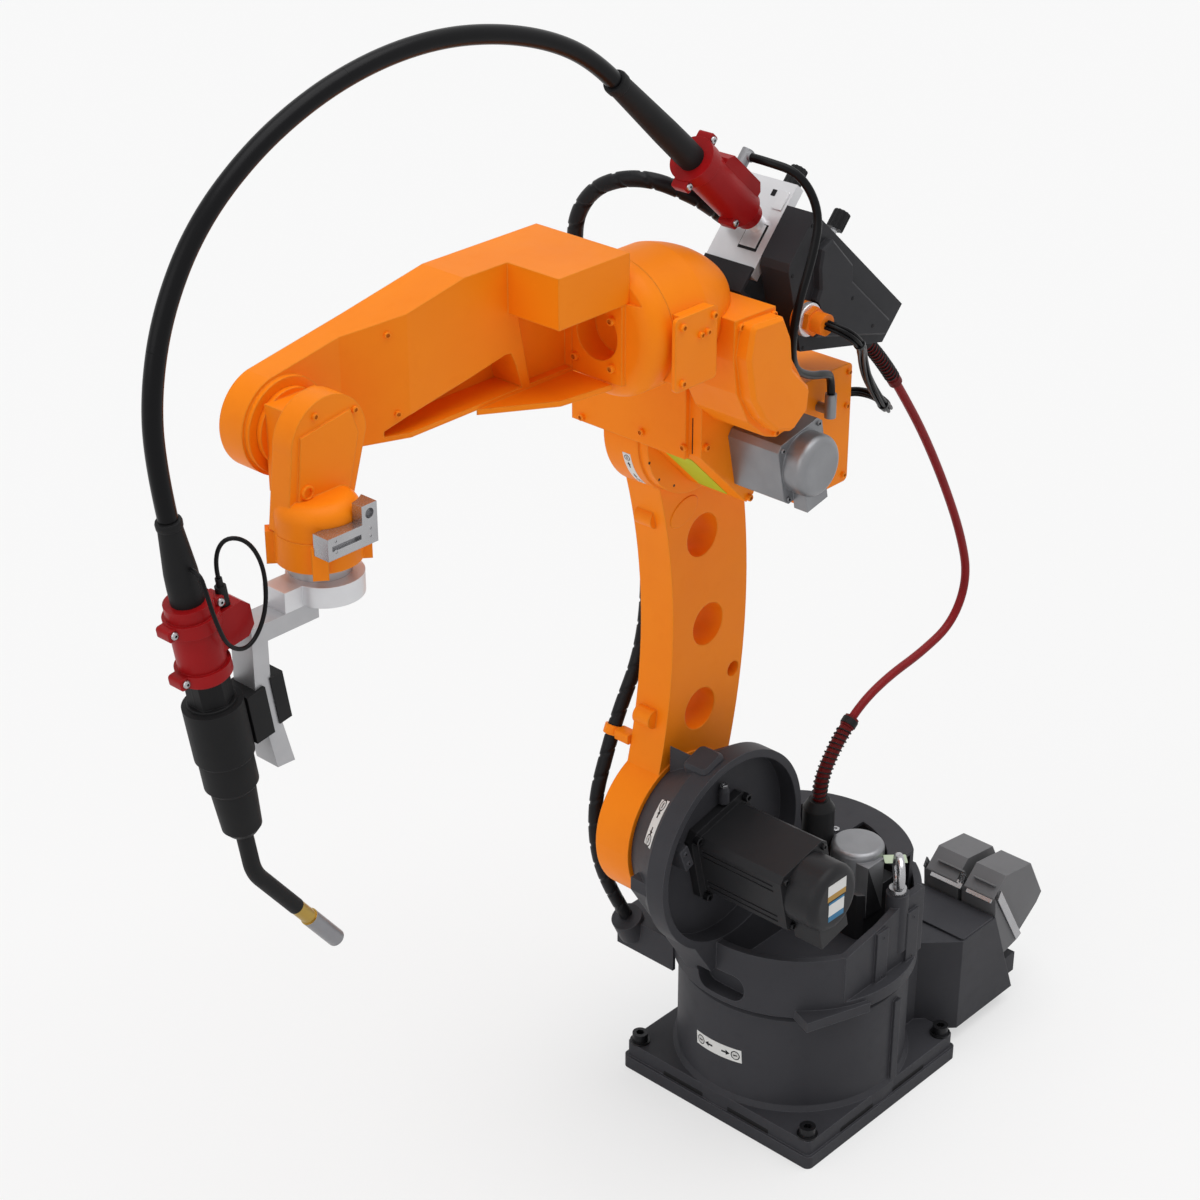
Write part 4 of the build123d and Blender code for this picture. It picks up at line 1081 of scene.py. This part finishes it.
bm = bmesh.new()
for x, y in ((1, 0), (0, 1), (0, -1)):
    place = (PLATE_SIDE * x + HAIR, PLATE_SIDE * y + HAIR, GAP_HEIGHT)
    raise_flat(bm, facing(place, (x, y, 0)), rounded(205, 8, 1.5), 0, 0.3, 0.1)
seat("plate_shadow_gaps", bm, "base", "black_plastic", black_nylon)
print("hoods", 2, "gaps", 3)

# %% [markdown]
# The feeder's case is closed by small black screws. Two knobs set the pressure of its rollers: each is a
# fluted grip on a plated spindle, so that fingers in gloves can turn it. Its face plate has a small cover
# with a dark gap around it, a hole drawn as a dark patch of painted shade, and a raised pad, and the gland
# sits on a milled flange.

# %% Hardware on the feeder
FLUTES = 10
GRIP = 12.0
GROOVE = 10.6

bm = bmesh.new()
for spot in ((164.4, 78, 1348), (137.8, 78, 1244.3), (54, 90, 1290.8), (128.6, 78, 1404), (8, 90, 1240),
             (22, 90, 1214)):
    spin(bm, facing(spot, (0, 1, 0)), ((2.6, -0.5), (2.6, 0.5), (2.2, 0.8)), 16)
seat("feeder_case_screws", bm, "elbow", "black_plastic", dark_colour_and_painted_shade)

bm = bmesh.new()
flutes = []
for step in range(4 * FLUTES):
    reach = GRIP if step % 4 in (0, 1) else GROOVE
    turn = math.tau * step / (4 * FLUTES)
    flutes.append((reach * math.cos(turn), reach * math.sin(turn)))
spindle = ((8.5, 84), (8.5, 104), (7.5, 106), (5.0, 106), (5.0, 131))
for along, across in ((8, -5), (-110, 0)):
    knob = feeder_frame @ Matrix.Translation(mm(along, across, 0))
    spin(bm, knob, spindle, 28, mark=1)
    raise_flat(bm, knob, flutes, 130.5, 156, 1.6)
knobs = seat("feeder_knobs_fluted", bm, "elbow", "black_plastic", black_nylon, bail_steel)
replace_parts(knobs, "feeder_knobs")

bm = bmesh.new()
window = feeder_frame @ Matrix.Translation(mm(42, 4, 42)) @ Matrix.Rotation(math.radians(90), 4, "Y")
raise_flat(bm, window, rounded(38, 30, 1), 0, 0.35, 0.1, 1)
raise_flat(bm, window, rounded(33, 26, 1, -1.5, -1.2), 0.35, 0.7, 0.1)
# A dark patch of painted shade stands for the hole.
raise_flat(bm, window, rounded(9, 7, 1, -62, -2), 0, 0.4, 0.1, 1)
raise_flat(bm, window, rounded(26, 16, 1.5, -54, 14), 0, 2.2, 0.5)
seat("feeder_face_window", bm, "elbow", "aluminium", milled_plate, dark_colour_and_painted_shade)

bm = bmesh.new()
spin(bm, feeder_frame @ Matrix.Translation(mm(-25, 88, -20)) @ ACROSS,
     ((21.6, -4), (22.0, -3), (22.0, 4.6), (21.0, 5.8), (18.0, 6.2)), 40)
seat("gland_flange", bm, "elbow", "aluminium", milled_plate)
print("knobs", 2)

# %% [markdown]
# Two bolts hold the torch's bracket from below. Their heads are orange, as in the photograph.

# %% Hardware on the torch
bm = bmesh.new()
bracket_bolt = ((6.2, -1), (6.2, 4), (5.4, 4.8), (3.2, 4.8), (3.0, 2.4))
for x in (925, 945):
    spin(bm, facing((x, -2, 1137), (0, 0, -1)), bracket_bolt, 24, 3)
seat("bracket_bolts", bm, "tool", "orange_paint", orange_nylon)
print("bolts of the bracket", 2)

# %% [markdown]
# ## Tapered boots
# A cable that swings all day would crack where it leaves its clamp, so a rubber boot spreads the bend:
# thick at the clamp, thin at the cable, with a small lip where it ends. A turned profile gives exactly
# that. Each boot stands for its plain CAD solid. Between the torch's body and its red connector is a
# hexagon for a spanner, with a collar at its foot.

# %% Boots and the hexagon of the torch


def boot(name, body, stand, profile):
    """A turned rubber boot that stands for its plain CAD solid."""
    bm = bmesh.new()
    spin(bm, stand, profile, 36)
    piece = seat(name + "_tapered", bm, body, "boot_rubber", boot_rubber)
    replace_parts(piece, name)


feed_line_stand = feeder_frame @ Matrix.Translation(mm(0, 0, 59)) @ Matrix.Rotation(math.radians(90), 4, "Y")
boot("torch_boot", "tool", torch_frame,
     ((18.6, 130), (18.8, 150), (18.4, 168), (16.4, 190), (13.8, 219), (13.6, 222), (14.6, 223.5),
      (14.8, 229), (14.0, 231.5), (11.2, 232)))
boot("feeder_boot", "elbow", feed_line_stand,
     ((17.0, 213), (17.4, 240), (17.0, 280), (14.6, 372), (14.2, 388), (15.4, 389.5), (15.6, 397),
      (14.6, 400), (11.2, 400.4)))

bm = bmesh.new()
spin(bm, torch_frame, ((21.9, -1), (21.9, 33.2), (21.0, 34.2)), 24, 0)
spin(bm, torch_frame, ((27.5, -2), (27.5, 1.6), (26.6, 2.4)), 36)
seat("torch_body_hexagon", bm, "tool", "torch_black", boot_rubber)
print("boots", 2)

# %% [markdown]
# Two nodes have two finishes each. The nozzle is steel, but its near end is a brass ring, which is every
# face that lies close to the bend of the neck. The waist motor is bare metal above and black enamel below.

# %% Two finishes on one node
NECK_BEND = mm(1010, 0, 845.1)
BRASS_REACH = 0.128
ENAMEL_TOP = 0.336


def is_brass(spot):
    """Whether a place on the nozzle belongs to its brass ring."""
    return (spot - NECK_BEND).length < BRASS_REACH


def is_enamel(spot):
    """Whether a place on the waist motor is below its bare top."""
    return spot.z < ENAMEL_TOP


for name, second, chosen in (("gas_nozzle", yellow_brass, is_brass),
                             ("waist_motor", motor_enamel, is_enamel)):
    mesh = nodes[name].data
    mesh.materials.append(second)
    for face in mesh.polygons:
        face.material_index = 1 if chosen(face.center) else 0
print("nodes with two finishes", 2)

# %% [markdown]
# ## Studio
# Light comes from a white sky, a broad soft sun from above, and a weaker one from the robot's front that
# brings out the castings' forms. Suns are equally strong all over the floor, so the floor stays one tone
# and the shadow still falls on it. The camera sees a sky that is brighter than the light it gives. The
# floor is pale paper, and where the camera sees it directly it is lifted towards white, so that floor and
# sky meet without a line.

# %% Floor, sky and suns
SKY = 0.42
SUN = 1.80
SIDE_SUN = 0.60
LIFT = 0.57
FLOOR_HALF = 40
world = bpy.data.worlds.new("studio")
bpy.context.scene.world = world
world.use_nodes = True
sky = world.node_tree
sky.nodes.clear()
ray = add(sky, "ShaderNodeLightPath")
sharp = add(sky, "ShaderNodeMath", {0: ray.outputs["Is Camera Ray"], 1: ray.outputs["Is Glossy Ray"]},
            operation="MAXIMUM")
seen = add(sky, "ShaderNodeMath", {0: sharp.outputs["Value"], 1: ray.outputs["Is Transmission Ray"]},
           operation="MAXIMUM")
soft_light = add(sky, "ShaderNodeBackground", {"Color": (1, 1, 1, 1), "Strength": SKY})
seen_light = add(sky, "ShaderNodeBackground", {"Color": shade("#f7f7f7"), "Strength": 1.0})
either = add(sky, "ShaderNodeMixShader", {0: seen.outputs["Value"], 1: soft_light.outputs["Background"],
                                          2: seen_light.outputs["Background"]})
add(sky, "ShaderNodeOutputWorld", {"Surface": either.outputs["Shader"]})

floor_mesh = bpy.data.meshes.new("floor")
floor_corners = [(FLOOR_HALF * x, FLOOR_HALF * y, 0) for x, y in ((-1, -1), (1, -1), (1, 1), (-1, 1))]
floor_mesh.from_pydata(floor_corners, [], [(0, 1, 2, 3)])
floor = bpy.data.objects.new("floor", floor_mesh)
floor.location.z = -0.0005
bpy.context.scene.collection.objects.link(floor)
paper, tree, output, _ = start_finish("pale_studio_paper")
white = add(tree, "ShaderNodeBsdfDiffuse", {"Color": shade("#e9e9e9")})
glow = add(tree, "ShaderNodeEmission", {"Color": (1, 1, 1, 1), "Strength": 1.0})
ray = add(tree, "ShaderNodeLightPath")
lift = add(tree, "ShaderNodeMath", {0: ray.outputs["Is Camera Ray"], 1: LIFT}, operation="MULTIPLY")
sheet = add(tree, "ShaderNodeMixShader", {0: lift.outputs["Value"], 1: white.outputs["BSDF"],
                                          2: glow.outputs["Emission"]})
tree.links.new(sheet.outputs["Shader"], output.inputs["Surface"])
floor_mesh.materials.append(paper)

for name, strength, angle, way in (("soft_sun", SUN, 60, (0.12, -0.12, -1.0)),
                                   ("side_sun", SIDE_SUN, 50, (-1.0, 0.05, -0.45))):
    lamp = bpy.data.lights.new(name, "SUN")
    lamp.energy = strength
    lamp.angle = math.radians(angle)
    sun = bpy.data.objects.new(name, lamp)
    sun.rotation_euler = Vector(way).to_track_quat("-Z", "Y").to_euler()
    bpy.context.scene.collection.objects.link(sun)
print("sky", SKY, "sun", SUN, "side sun", SIDE_SUN)

# %% [markdown]
# ## Close
# The view is left as plain sRGB.

# %% Plain sRGB view
bpy.context.scene.view_settings.view_transform = "Standard"
